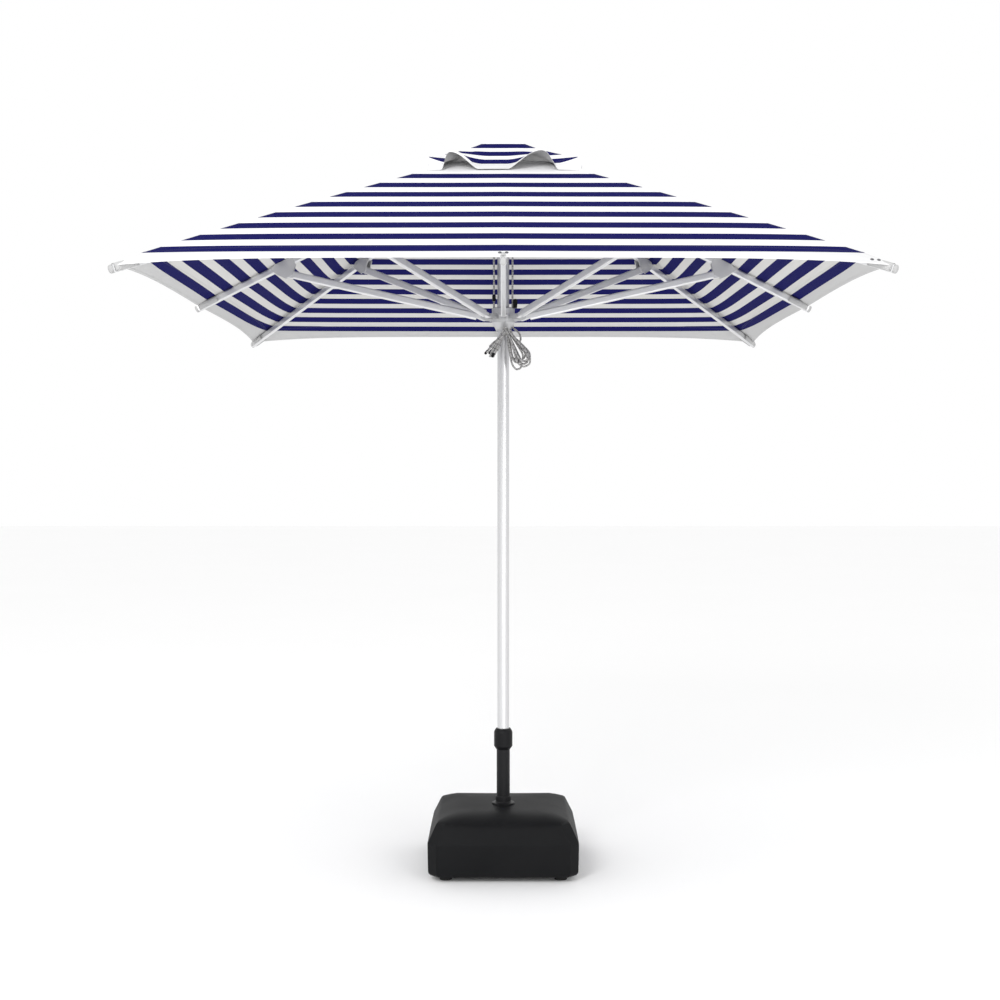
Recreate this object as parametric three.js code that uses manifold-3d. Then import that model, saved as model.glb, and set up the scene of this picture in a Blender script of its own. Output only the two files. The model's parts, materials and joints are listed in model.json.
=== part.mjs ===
// Square patio umbrella with eight ribs, a rope-and-pulley lift and a fillable base.
// Millimetres, +Z up, origin on the floor under the pole; the front of the umbrella faces -Y.
import * as THREE from 'three';
import { mergeVertices } from 'three/addons/utils/BufferGeometryUtils.js';
import Module from 'manifold-3d';

const wasm = await Module();
wasm.setup();

// ---------------------------------------------------------------- driving dimensions
const GAP = 0.3; // between pieces that touch
const ARMS = 8; // arm 1 points to the front, the even ones to the corners

const CANOPY_HALF = 1250; // pole axis to hem
const APEX_Z = 2930; // where the slopes of the canopy would meet
const MID_HEM_Z = 2302; // hem over a mid-side rib
const CORNER_HEM_Z = 2275; // hem over a corner rib
const FABRIC = 1.5;
const VENT_HALF = 170; // square vent opening in the canopy
const CAP_HALF = 304; // vent cap, axis to hem
const CAP_TOP_Z = 2953;
const CAP_HEM_Z = 2792;

const RIB_WIDE = 20;
const RIB_DEEP = 28;
const STRUT_WIDE = 20;
const STRUT_DEEP = 30;
const TUBE_WALL = 1.6;
const TUBE_ROUND = 6; // outer corner radius of ribs and struts
const TONGUE_WIDE = 12; // flat end that goes into a hub slot
const TONGUE_R = 8;
const TONGUE_REACH = 26; // pivot to the start of the full tube

const CROWN_PIVOT_R = 62;
const CROWN_PIVOT_Z = 2876;
const RUNNER_PIVOT_R = 84;
const RUNNER_PIVOT_Z = 2243;
const BRACKET_AT = 940; // crown pivot to bracket along a mid-side rib
const BRACKET_DROP = 34; // strut pivot below the rib axis
const FOLDED_DEG = 85.5; // rib slope with the umbrella folded

const PLATE = 3; // bracket plate
const BRACKET_PIN_R = 4;
const RING_R = 2; // wire that strings the ribs to the crown
const PIN_CLEARANCE = 0.3;

const POLE_R = 24;
const POLE_WALL = 1.8;
const POLE_FOOT_Z = 46; // the pole stands on the floor of the tank's well
const CROWN_R = 74;
const CROWN_DEEP = 36;
const CROWN_COLLAR_R = 33;
const CROWN_COLLAR_DEEP = 58;
const SHEAVE_ABOVE_PIVOTS = 24;
const SHEAVE_R = 38;
const SHEAVE_WIDE = 13;
const AXLE_R = 3;
const VENT_PLATE_R = 55;
const VENT_PLATE_DEEP = 5;

const RUNNER_R = 46.5;
const RUNNER_ABOVE = 39; // core above its pivots
const RUNNER_BELOW = 21;
const RUNNER_NECK = 38;
const RUNNER_NECK_R = 30;
const RUNNER_CLEARANCE = 1;
const EAR = 4;
const EAR_R = 9;
const BLOCK_SHEAVE_R = 8;
const BLOCK_SHEAVE_ABOVE = 28; // above the runner's top
const ROPE_STOP_ABOVE = 28;

const ROPE_R = 4;
const ROPE_CLEARANCE = 1.5;
const HANK_AT = 75; // in front of the pole axis
const HANK_DEEP = 46;
const HANK_LEFT = { from: [-8, 2178], to: [-58, 2098], wide: 32 }; // [x, z] of its ends
const HANK_RIGHT = { from: [34, 2156], to: [76, 2074], wide: 50 };
// The free end leaves the runner's right hole and comes round in a slack loop to the hank.
const TAIL_ROUTE = [
  [38, 0, 2221], [38, 0, 2211], [42, -2, 2199], [55, -6, 2189], [66, -12, 2176], [71, -20, 2159],
  [69, -28, 2144], [60, -35, 2139], [48, -41, 2150], [38, -45, 2168], [28, -47, 2186],
];

const STEM_R = 27.25;
const STEM_WALL = 2.25;
const STEM_BOTTOM_Z = 46;
const STEM_TOP_Z = 520;
const STEM_CLEARANCE = 0.4;
const NUT_R = 38;
const NUT_BOTTOM_Z = 470;
const NUT_TOP_Z = 557;
const NUT_CHAMFER = 10;
const COLLET_DEEP = 27;
const FLANGE_R = 46.5;
const FLANGE_DEEP = 6;
const BOSS_R = 31.3;
const BOSS_DEEP = 30;

const BASE_HALF = 298;
const BASE_BOTTOM_Z = 20;
const BASE_WALL_Z = 150; // top of the upright walls
const BASE_SHOULDER_Z = 227;
const BASE_TOP_Z = 246;
const BASE_SHOULDER_HALF = 262;
const BASE_TOP_HALF = 195;
const BASE_CHAMFER = 36;
const BASE_SHELL = 5;
const FILL_Z = 205; // water level
const FOOT_R = 25;
const FOOT_AT = 228;
const FILLER_AT = 115; // behind the stem
const FILLER_R = 22.5;
const FILLER_CAP_R = 29;
const FILLER_CAP_DEEP = 10;
const FILLER_PLUG_DEEP = 18;

// ---------------------------------------------------------------- materials
const finish = (color, roughness, metalness) => new THREE.MeshStandardMaterial({ color, roughness, metalness });
const aluminium = finish(0xd6d8da, 0.35, 0.9);
const castAlloy = finish(0xb4b6b8, 0.45, 0.8);
const steel = finish(0xa8aaac, 0.3, 1);
const blackPlastic = finish(0x1d1e20, 0.6, 0);
const blackPaint = finish(0x232426, 0.45, 0.3);
const rubber = finish(0x101010, 0.9, 0);
const cloth = finish(0xe8e8e4, 0.9, 0);
const rope = finish(0x9a9a94, 0.9, 0);
const water = finish(0x7fa3b5, 0.2, 0);

// ---------------------------------------------------------------- solids
const solid = (geometry) => {
  const bare = geometry.index ? geometry.toNonIndexed() : geometry.clone();
  bare.deleteAttribute('normal');
  bare.deleteAttribute('uv');
  bare.clearGroups();
  const merged = mergeVertices(bare, 1e-4);
  return new wasm.Manifold(new wasm.Mesh({
    numProp: 3,
    vertProperties: new Float32Array(merged.attributes.position.array),
    triVerts: new Uint32Array(merged.index.array),
  }));
};

const join = (pieces) => pieces.reduce((sum, piece) => sum.add(piece));
const cut = (body, tools) => tools.reduce((rest, tool) => rest.subtract(tool), body);

const part = (name, body, material) => {
  const { vertProperties, triVerts } = body.getMesh();
  const geometry = new THREE.BufferGeometry();
  geometry.setAttribute('position', new THREE.BufferAttribute(new Float32Array(vertProperties), 3));
  geometry.setIndex(new THREE.BufferAttribute(new Uint32Array(triVerts), 1));
  geometry.computeVertexNormals();
  const mesh = new THREE.Mesh(geometry, material);
  mesh.name = name;
  return mesh;
};

const box = (x0, x1, y0, y1, z0, z1) => {
  const geometry = new THREE.BoxGeometry(x1 - x0, y1 - y0, z1 - z0);
  geometry.translate((x0 + x1) / 2, (y0 + y1) / 2, (z0 + z1) / 2);
  return solid(geometry);
};

// An upright cylinder from z0 to z1.
const rod = (radius, z0, z1, sides, x = 0, y = 0) => {
  const geometry = new THREE.CylinderGeometry(radius, radius, z1 - z0, sides);
  geometry.rotateX(Math.PI / 2);
  geometry.translate(x, y, (z0 + z1) / 2);
  return solid(geometry);
};

// A cylinder lying along Y, centred at y.
const pin = (radius, length, sides, x, z, y = 0) => {
  const geometry = new THREE.CylinderGeometry(radius, radius, length, sides);
  geometry.translate(x, y, z);
  return solid(geometry);
};

// A turned solid from [radius, height] corners, about Z; an open bore closes on its first corner.
const turned = (corners, sides) => {
  const onAxis = corners[0][0] === 0 && corners[corners.length - 1][0] === 0;
  const ring = onAxis ? corners : [...corners, corners[0]];
  const geometry = new THREE.LatheGeometry(ring.map(([r, z]) => new THREE.Vector2(r, z)), sides);
  geometry.rotateX(Math.PI / 2);
  const body = solid(geometry);
  return body.volume() < 0 ? solid(flipped(geometry)) : body;
};

const flipped = (geometry) => {
  const copy = geometry.clone();
  const order = copy.index.array;
  for (let i = 0; i < order.length; i += 3) [order[i], order[i + 1]] = [order[i + 1], order[i]];
  return copy;
};

// A flat shape in the XZ plane, made wide along Y about y = 0.
const upright = (shape, wide, steps = 6, y = 0) => {
  const geometry = new THREE.ExtrudeGeometry(shape, { depth: wide, bevelEnabled: false, curveSegments: steps });
  geometry.rotateX(Math.PI / 2);
  geometry.translate(0, wide / 2 + y, 0);
  return solid(geometry);
};

// A bar outline from x0 to x1 with half depth r and a round end at x1; round at x0 too if asked.
const barShape = (x0, x1, r, roundStart) => {
  const shape = new THREE.Shape();
  shape.moveTo(x0, -r);
  shape.lineTo(x1, -r);
  shape.absarc(x1, 0, r, -Math.PI / 2, Math.PI / 2, false);
  shape.lineTo(x0, r);
  if (roundStart) shape.absarc(x0, 0, r, Math.PI / 2, Math.PI * 1.5, false);
  else shape.lineTo(x0, -r);
  return shape;
};

// A rounded rectangular section, y by z, run along X from x0 to x1.
const tubeBar = (wide, deep, round, x0, x1) => {
  const [a, b] = [wide / 2, deep / 2];
  const shape = new THREE.Shape();
  shape.moveTo(a - round, -b);
  shape.absarc(a - round, -b + round, round, -Math.PI / 2, 0, false);
  shape.absarc(a - round, b - round, round, 0, Math.PI / 2, false);
  shape.absarc(-a + round, b - round, round, Math.PI / 2, Math.PI, false);
  shape.absarc(-a + round, -b + round, round, Math.PI, Math.PI * 1.5, false);
  const geometry = new THREE.ExtrudeGeometry(shape, { depth: x1 - x0, bevelEnabled: false, curveSegments: 2 });
  geometry.applyMatrix4(new THREE.Matrix4().set(0, 0, 1, x0, 1, 0, 0, 0, 0, 1, 0, 0, 0, 0, 0, 1));
  return solid(geometry);
};

// A round tube or cord along a smooth curve through points.
const cordAlong = (points, radius, steps) => {
  const section = new THREE.Shape();
  section.absarc(0, 0, radius, 0, Math.PI * 2, false);
  const path = new THREE.CatmullRomCurve3(points.map((p) => new THREE.Vector3(...p)));
  return solid(new THREE.ExtrudeGeometry(section, { steps, extrudePath: path, curveSegments: 4 }));
};

// A closed solid through rings of equal point counts, from bottom to top.
const loft = (rings) => {
  const count = rings[0].length;
  const last = (rings.length - 1) * count;
  const faces = [];
  for (let i = 1; i < count - 1; i += 1) {
    faces.push(0, i + 1, i);
    faces.push(last, last + i, last + i + 1);
  }
  for (let level = 0; level < rings.length - 1; level += 1) {
    for (let i = 0; i < count; i += 1) {
      const [a, b] = [level * count + i, level * count + ((i + 1) % count)];
      faces.push(a, b, b + count, a, b + count, a + count);
    }
  }
  const geometry = new THREE.BufferGeometry();
  geometry.setAttribute('position', new THREE.Float32BufferAttribute(rings.flat(2), 3));
  geometry.setIndex(faces);
  return solid(geometry);
};

// ---------------------------------------------------------------- the folding linkage
// Everything here is in one arm's upright plane: radius from the pole axis, and height.
const RIB_TO_FABRIC = RIB_DEEP / 2 + GAP + PLATE + 1; // rib axis to the underside of the fabric

const isCorner = (arm) => arm % 2 === 0;
const azimuth = (arm) => (-90 + (arm - 1) * (360 / ARMS)) * (Math.PI / 180);

const ribEnd = (corner) => {
  const reach = corner ? CANOPY_HALF * Math.SQRT2 : CANOPY_HALF;
  const hem = corner ? CORNER_HEM_Z : MID_HEM_Z;
  const slope = Math.atan((APEX_Z - hem) / reach);
  return [reach, hem - (FABRIC + RIB_TO_FABRIC) / Math.cos(slope)];
};

const ribSlope = (corner) => {
  const [reach, height] = ribEnd(corner);
  return Math.atan2(CROWN_PIVOT_Z - height, reach - CROWN_PIVOT_R);
};

const strutPivot = (slope, at) => [
  CROWN_PIVOT_R + at * Math.cos(slope) - BRACKET_DROP * Math.sin(slope),
  CROWN_PIVOT_Z - at * Math.sin(slope) - BRACKET_DROP * Math.cos(slope),
];

const strutLength = (slope, at, runnerZ) => {
  const [r, z] = strutPivot(slope, at);
  return Math.hypot(r - RUNNER_PIVOT_R, z - runnerZ);
};

const FOLDED = FOLDED_DEG * (Math.PI / 180);

// How far the runner comes down to fold the mid-side ribs.
const runnerTravel = () => {
  const [r, z] = strutPivot(FOLDED, BRACKET_AT);
  const length = strutLength(ribSlope(false), BRACKET_AT, RUNNER_PIVOT_Z);
  return RUNNER_PIVOT_Z - (z - Math.sqrt(length ** 2 - (r - RUNNER_PIVOT_R) ** 2));
};

const TRAVEL = runnerTravel();

// The corner bracket sits where its strut is as long with the umbrella open as folded.
const cornerBracketAt = () => {
  let [low, high] = [BRACKET_AT / 2, BRACKET_AT * 1.5];
  const change = (at) => strutLength(ribSlope(true), at, RUNNER_PIVOT_Z)
    - strutLength(FOLDED, at, RUNNER_PIVOT_Z - TRAVEL);
  const sign = Math.sign(change(low));
  for (let i = 0; i < 60; i += 1) {
    const middle = (low + high) / 2;
    if (Math.sign(change(middle)) === sign) low = middle;
    else high = middle;
  }
  return low;
};

const bracketAt = { false: BRACKET_AT, true: cornerBracketAt() };

const linkage = (corner) => {
  const slope = ribSlope(corner);
  const at = bracketAt[corner];
  const [r, z] = strutPivot(slope, at);
  const [foldedR, foldedZ] = strutPivot(FOLDED, at);
  const runnerFolded = RUNNER_PIVOT_Z - TRAVEL;
  return {
    slope,
    at,
    pivot: [r, z],
    end: ribEnd(corner),
    length: Math.hypot(ribEnd(corner)[0] - CROWN_PIVOT_R, ribEnd(corner)[1] - CROWN_PIVOT_Z),
    strut: strutLength(slope, at, RUNNER_PIVOT_Z),
    strutSlope: Math.atan2(z - RUNNER_PIVOT_Z, r - RUNNER_PIVOT_R),
    strutFolded: Math.atan2(foldedZ - runnerFolded, foldedR - RUNNER_PIVOT_R),
    ribTurn: FOLDED - slope,
    travel: TRAVEL,
  };
};

const LINKS = { false: linkage(false), true: linkage(true) };

// ---------------------------------------------------------------- base
const squareRing = (half, chamfer, z) => {
  const inner = half - chamfer;
  return [
    [half, -inner, z], [half, inner, z], [inner, half, z], [-inner, half, z],
    [-half, inner, z], [-half, -inner, z], [-inner, -half, z], [inner, -half, z],
  ];
};

// The tank's outline, moved inwards by the given inset.
const tankBody = (inset, topZ) => {
  const ring = (half, z) => squareRing(half - inset, BASE_CHAMFER - inset / 2, z);
  const top = Math.min(topZ, BASE_SHOULDER_Z - inset);
  const share = (top - BASE_WALL_Z + inset / 2) / (BASE_SHOULDER_Z - inset / 2 - BASE_WALL_Z);
  const halfAtTop = BASE_HALF + (BASE_SHOULDER_HALF - BASE_HALF) * share;
  const rings = [
    ring(BASE_HALF - 12, BASE_BOTTOM_Z + inset),
    ring(BASE_HALF - 2, BASE_BOTTOM_Z + 14 + inset),
    ring(BASE_HALF, BASE_WALL_Z - inset / 2),
    ring(halfAtTop, top),
  ];
  if (topZ > top) rings.push(ring(BASE_TOP_HALF, BASE_TOP_Z - inset));
  return loft(rings);
};

const WELL_R = STEM_R + STEM_CLEARANCE;

const baseTank = () => {
  const well = rod(WELL_R + BASE_SHELL, BASE_BOTTOM_Z + 1, BASE_TOP_Z - 1, 32);
  const hollow = cut(tankBody(BASE_SHELL, BASE_TOP_Z), [well]);
  const stemHole = rod(WELL_R, STEM_BOTTOM_Z - GAP, BASE_TOP_Z + 10, 32);
  const fillerHole = rod(FILLER_R, BASE_TOP_Z - 30, BASE_TOP_Z + 10, 24, 0, FILLER_AT);
  return part('base_tank', cut(tankBody(0, BASE_TOP_Z), [hollow, stemHole, fillerHole]), blackPlastic);
};

const ballastWater = () => {
  const well = rod(WELL_R + BASE_SHELL + 1, 0, BASE_TOP_Z, 32);
  return part('ballast_water', cut(tankBody(BASE_SHELL + 1, FILL_Z), [well]), water);
};

const fillerCap = () => {
  const underside = BASE_TOP_Z + GAP;
  const grips = [];
  for (let i = 0; i < 8; i += 1) {
    const turn = (i * Math.PI) / 4;
    const [x, y] = [FILLER_CAP_R * Math.cos(turn), FILLER_AT + FILLER_CAP_R * Math.sin(turn)];
    grips.push(rod(3, underside - 1, underside + FILLER_CAP_DEEP + 1, 8, x, y));
  }
  const head = cut(rod(FILLER_CAP_R, underside, underside + FILLER_CAP_DEEP, 32, 0, FILLER_AT), grips);
  const plug = rod(FILLER_R - 0.5, underside - FILLER_PLUG_DEEP, underside + 1, 24, 0, FILLER_AT);
  return part('filler_cap', head.add(plug), blackPlastic);
};

const foot = (number) => {
  const [x, y] = [number % 2 ? -FOOT_AT : FOOT_AT, number > 2 ? FOOT_AT : -FOOT_AT];
  return part(`foot_${number}`, rod(FOOT_R, 0, BASE_BOTTOM_Z - GAP, 20, x, y), rubber);
};

const stemFlange = () => {
  const bottom = BASE_TOP_Z + GAP;
  const bore = STEM_R + STEM_CLEARANCE;
  return part('stem_flange', turned([
    [bore, bottom],
    [FLANGE_R, bottom],
    [FLANGE_R, bottom + FLANGE_DEEP - 2],
    [FLANGE_R - 3, bottom + FLANGE_DEEP],
    [BOSS_R + 3, bottom + FLANGE_DEEP + 1],
    [BOSS_R, bottom + FLANGE_DEEP + 5],
    [BOSS_R, bottom + BOSS_DEEP],
    [BOSS_R - 2, bottom + BOSS_DEEP + 3],
    [bore, bottom + BOSS_DEEP + 3],
  ], 24), blackPaint);
};

const stemTube = () => part('stem_tube', turned([
  [STEM_R - STEM_WALL, STEM_BOTTOM_Z],
  [STEM_R, STEM_BOTTOM_Z],
  [STEM_R, STEM_TOP_Z],
  [STEM_R - STEM_WALL, STEM_TOP_Z],
], 32), blackPaint);

const NUT_BORE = STEM_R + STEM_CLEARANCE;
const COLLET_BOTTOM_R = STEM_R + 2.5;
const COLLET_TOP_R = STEM_R + 0.3;

const clampNut = () => {
  const seat = STEM_TOP_Z + GAP;
  const roof = seat + COLLET_DEEP + GAP;
  return part('clamp_nut', turned([
    [NUT_BORE, NUT_BOTTOM_Z],
    [NUT_R - NUT_CHAMFER, NUT_BOTTOM_Z],
    [NUT_R, NUT_BOTTOM_Z + NUT_CHAMFER + 4],
    [NUT_R, NUT_TOP_Z - NUT_CHAMFER - 6],
    [NUT_R - 2, NUT_TOP_Z - NUT_CHAMFER],
    [NUT_R - NUT_CHAMFER + 2, NUT_TOP_Z],
    [POLE_R + STEM_CLEARANCE + 0.4, NUT_TOP_Z],
    [POLE_R + STEM_CLEARANCE + 0.4, roof],
    [COLLET_TOP_R + 0.8, roof],
    [COLLET_BOTTOM_R + 0.8, seat - 2],
    [NUT_BORE, seat - 6],
  ], 28), blackPlastic);
};

const collet = () => {
  const bottom = STEM_TOP_Z + GAP;
  const sleeve = turned([
    [POLE_R + STEM_CLEARANCE, bottom],
    [COLLET_BOTTOM_R, bottom],
    [COLLET_TOP_R, bottom + COLLET_DEEP],
    [POLE_R + STEM_CLEARANCE, bottom + COLLET_DEEP],
  ], 32);
  return part('collet', cut(sleeve, [box(0, 2 * POLE_R, -1.5, 1.5, bottom - 1, NUT_TOP_Z)]), blackPlastic);
};

// ---------------------------------------------------------------- pole and crown
const CROWN_BOTTOM_Z = CROWN_PIVOT_Z - CROWN_DEEP / 2;
const CROWN_TOP_Z = CROWN_PIVOT_Z + CROWN_DEEP / 2;
const POLE_TOP_Z = CROWN_BOTTOM_Z - 4 - GAP;
const SHEAVE_Z = CROWN_PIVOT_Z + SHEAVE_ABOVE_PIVOTS;
const CHEEK_IN = SHEAVE_WIDE / 2 + 2;
const CHEEK_OUT = CHEEK_IN + 4;
const VENT_PLATE_Z = CAP_TOP_Z - FABRIC - GAP - VENT_PLATE_DEEP;

const pole = () => part('pole', turned([
  [POLE_R - POLE_WALL, POLE_FOOT_Z],
  [POLE_R, POLE_FOOT_Z],
  [POLE_R, POLE_TOP_Z],
  [POLE_R - POLE_WALL, POLE_TOP_Z],
], 36), aluminium);

// Eight straight wires with a common apothem, one across each arm.
const armRing = (radius) => {
  const length = 2 * CROWN_PIVOT_R * Math.tan(Math.PI / ARMS) + radius;
  const wires = [];
  for (let arm = 1; arm <= ARMS; arm += 1) {
    wires.push(turnedTo(arm, pin(radius, length, 8, CROWN_PIVOT_R, CROWN_PIVOT_Z)));
  }
  return join(wires);
};

// A solid made in an arm's own plane, turned to that arm.
const turnedTo = (arm, body) => body.rotate([0, 0, (azimuth(arm) * 180) / Math.PI]);

const crownHub = () => {
  const slots = [];
  for (let arm = 1; arm <= ARMS; arm += 1) {
    const half = TONGUE_WIDE / 2 + 0.5;
    const start = CROWN_PIVOT_R - TONGUE_R - 8;
    slots.push(turnedTo(arm, box(start, CROWN_R + 5, -half, half, CROWN_BOTTOM_Z - 1, CROWN_TOP_Z + 1)));
  }
  const disc = rod(CROWN_R, CROWN_BOTTOM_Z, CROWN_TOP_Z, 32);
  const collar = rod(CROWN_COLLAR_R, CROWN_BOTTOM_Z - CROWN_COLLAR_DEEP, CROWN_BOTTOM_Z + 1, 24);
  const cheeks = [-1, 1].map((side) => {
    const [y0, y1] = side < 0 ? [-CHEEK_OUT, -CHEEK_IN] : [CHEEK_IN, CHEEK_OUT];
    return box(-30, 30, y0, y1, CROWN_TOP_Z - 1, VENT_PLATE_Z - GAP);
  });
  const well = box(-SHEAVE_R - 5, SHEAVE_R + 5, -CHEEK_IN, CHEEK_IN, CROWN_BOTTOM_Z - 1, CROWN_TOP_Z + 1);
  const poleSeat = rod(POLE_R + GAP, CROWN_BOTTOM_Z - CROWN_COLLAR_DEEP - 1, POLE_TOP_Z + GAP, 24);
  const axleHole = pin(AXLE_R + PIN_CLEARANCE, 2 * CHEEK_OUT + 2, 10, 0, SHEAVE_Z);
  const tools = [...slots, well, poleSeat, axleHole, armRing(RING_R + PIN_CLEARANCE)];
  const wellBelow = box(-SHEAVE_R, SHEAVE_R, -CHEEK_IN, CHEEK_IN, SHEAVE_Z - SHEAVE_R - 4, SHEAVE_Z);
  return part('crown_hub', cut(join([disc, collar, ...cheeks]), [...tools, wellBelow]), castAlloy);
};

const crownPinRing = () => part('crown_pin_ring', armRing(RING_R), steel);

const grooved = (outer, groove, bore, wide) => [
  [bore, -wide / 2],
  [outer, -wide / 2],
  [outer, -wide / 2 + 1],
  [groove, -1.6],
  [groove, 1.6],
  [outer, wide / 2 - 1],
  [outer, wide / 2],
  [bore, wide / 2],
];

// A rope wheel turning about an axis along Y.
const ropeWheel = (name, outer, groove, bore, wide, x, z, material) => {
  const wheel = turned(grooved(outer, groove, bore, wide), 20);
  return part(name, wheel.rotate([90, 0, 0]).translate([x, 0, z]), material);
};

const crownSheave = () => ropeWheel(
  'crown_sheave', SHEAVE_R, SHEAVE_R - ROPE_R - 1.4, AXLE_R + PIN_CLEARANCE, SHEAVE_WIDE, 0, SHEAVE_Z, blackPlastic,
);

const sheaveAxle = () => part('sheave_axle', pin(AXLE_R, 2 * CHEEK_OUT, 10, 0, SHEAVE_Z), steel);

const ventPlate = () => {
  const top = VENT_PLATE_Z + VENT_PLATE_DEEP;
  return part('vent_plate', turned([
    [0, VENT_PLATE_Z],
    [VENT_PLATE_R - 2, VENT_PLATE_Z],
    [VENT_PLATE_R, VENT_PLATE_Z + 1.5],
    [VENT_PLATE_R - 2, top - 0.5],
    [VENT_PLATE_R - 6, top],
    [0, top],
  ], 32), castAlloy);
};

// ---------------------------------------------------------------- canopy
// Height of the fabric's outer face; each panel is flat between two neighbouring ribs.
const fabricZ = (x, y) => {
  const [far, near] = [Math.max(Math.abs(x), Math.abs(y)), Math.min(Math.abs(x), Math.abs(y))];
  const hem = MID_HEM_Z + (CORNER_HEM_Z - MID_HEM_Z) * (near / far);
  return APEX_Z - ((APEX_Z - hem) * far) / CANOPY_HALF;
};

// Where a ray from the axis meets a square of the given half side, moved sideways by shift.
const onSquare = (half, angle, shift) => {
  const reach = half / Math.max(Math.abs(Math.cos(angle)), Math.abs(Math.sin(angle)));
  return [
    reach * Math.cos(angle) - shift * Math.sin(angle),
    reach * Math.sin(angle) + shift * Math.cos(angle),
  ];
};

// One sheet of cloth over one rib, from the vent to the hem, reaching half way to each neighbour.
const gore = (arm) => {
  const half = Math.PI / ARMS;
  const rays = [[azimuth(arm) + half, -GAP], [azimuth(arm), 0], [azimuth(arm) - half, GAP]];
  const section = ([angle, shift]) => {
    const inner = onSquare(VENT_HALF, angle, shift);
    const outer = onSquare(CANOPY_HALF, angle, shift);
    return [
      [...inner, fabricZ(...inner) - FABRIC], [...outer, fabricZ(...outer) - FABRIC],
      [...outer, fabricZ(...outer)], [...inner, fabricZ(...inner)],
    ];
  };
  return part(`canopy_gore_${arm}`, loft(rays.map(section)), cloth);
};

// A square tent over the vent, flat on top where the vent plate holds it.
const ventCap = () => {
  const ring = (half, z) => {
    const points = [];
    for (let arm = 1; arm <= ARMS; arm += 1) points.push([...onSquare(half, azimuth(arm), 0), z]);
    return points;
  };
  const topHalf = VENT_PLATE_R + 2;
  const outside = loft([ring(CAP_HALF, CAP_HEM_Z), ring(topHalf, CAP_TOP_Z)]);
  const drop = FABRIC * 1.2;
  const inside = loft([
    ring(CAP_HALF + 20, CAP_HEM_Z - drop - (20 * (CAP_TOP_Z - CAP_HEM_Z)) / (CAP_HALF - topHalf)),
    ring(topHalf, CAP_TOP_Z - drop),
  ]);
  return part('vent_cap', outside.subtract(inside), cloth);
};

// ---------------------------------------------------------------- ribs, brackets and struts
const rib = (arm, link) => {
  const start = TONGUE_REACH;
  const tube = tubeBar(RIB_WIDE, RIB_DEEP, TUBE_ROUND, start, link.length);
  const bore = tubeBar(
    RIB_WIDE - 2 * TUBE_WALL, RIB_DEEP - 2 * TUBE_WALL, TUBE_ROUND - TUBE_WALL, start + 20, link.length + 1,
  );
  const tongue = upright(barShape(0, start + 2, TONGUE_R, true), TONGUE_WIDE, 3);
  const hole = pin(RING_R + PIN_CLEARANCE, TONGUE_WIDE + 2, 8, 0, 0);
  return part(`rib_${arm}`, cut(tube.add(tongue), [bore, hole]), aluminium);
};

// A folded saddle over the rib with two plates that hold the strut's pin.
const bracket = (arm) => {
  const top = RIB_DEEP / 2 + GAP;
  const side = RIB_WIDE / 2 + GAP;
  const outline = new THREE.Shape();
  outline.moveTo(-52, top + PLATE);
  outline.lineTo(30, top + PLATE);
  outline.lineTo(52, 6);
  outline.lineTo(40, -18);
  outline.lineTo(12, -BRACKET_DROP - 17);
  outline.lineTo(-20, -BRACKET_DROP - 17);
  outline.lineTo(-50, -16);
  const plates = [-1, 1].map((way) => upright(outline, PLATE, 4, way * (side + PLATE / 2)));
  const web = box(-50, 28, -side - 1, side + 1, top, top + PLATE);
  const heads = [[-30, 2], [24, 2], [0, -BRACKET_DROP]].map(
    ([x, z]) => pin(4.5, 2 * (side + PLATE) + 3, 6, x, z),
  );
  const inside = box(-60, 60, -side, side, -80, top);
  const shell = cut(join([...plates, web, ...heads]), [inside]);
  const strutPin = pin(BRACKET_PIN_R, 2 * side + 2, 10, 0, -BRACKET_DROP);
  return part(`bracket_${arm}`, shell.add(strutPin), castAlloy);
};

const strut = (arm, link) => {
  const r = STRUT_DEEP / 2;
  const start = TONGUE_REACH;
  const tube = tubeBar(STRUT_WIDE, STRUT_DEEP, TUBE_ROUND, start, link.strut);
  const end = upright(barShape(link.strut - 30, link.strut, r, false), STRUT_WIDE, 5);
  const bore = tubeBar(
    STRUT_WIDE - 2 * TUBE_WALL, STRUT_DEEP - 2 * TUBE_WALL, TUBE_ROUND - TUBE_WALL, start + 20, link.strut - 40,
  );
  const drain = rod(3, -r - 1, 0, 6, link.strut / 2);
  const tongue = upright(barShape(0, start + 2, TONGUE_R, true), STRUT_WIDE, 3);
  const hole = pin(BRACKET_PIN_R + PIN_CLEARANCE, STRUT_WIDE + 2, 10, link.strut, 0);
  return part(`strut_${arm}`, cut(join([tube, end, tongue]), [bore, drain, hole]), aluminium);
};

// ---------------------------------------------------------------- runner and rope
const RUNNER_TOP_Z = RUNNER_PIVOT_Z + RUNNER_ABOVE;
const RUNNER_CORE_Z = RUNNER_PIVOT_Z - RUNNER_BELOW;

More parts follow.
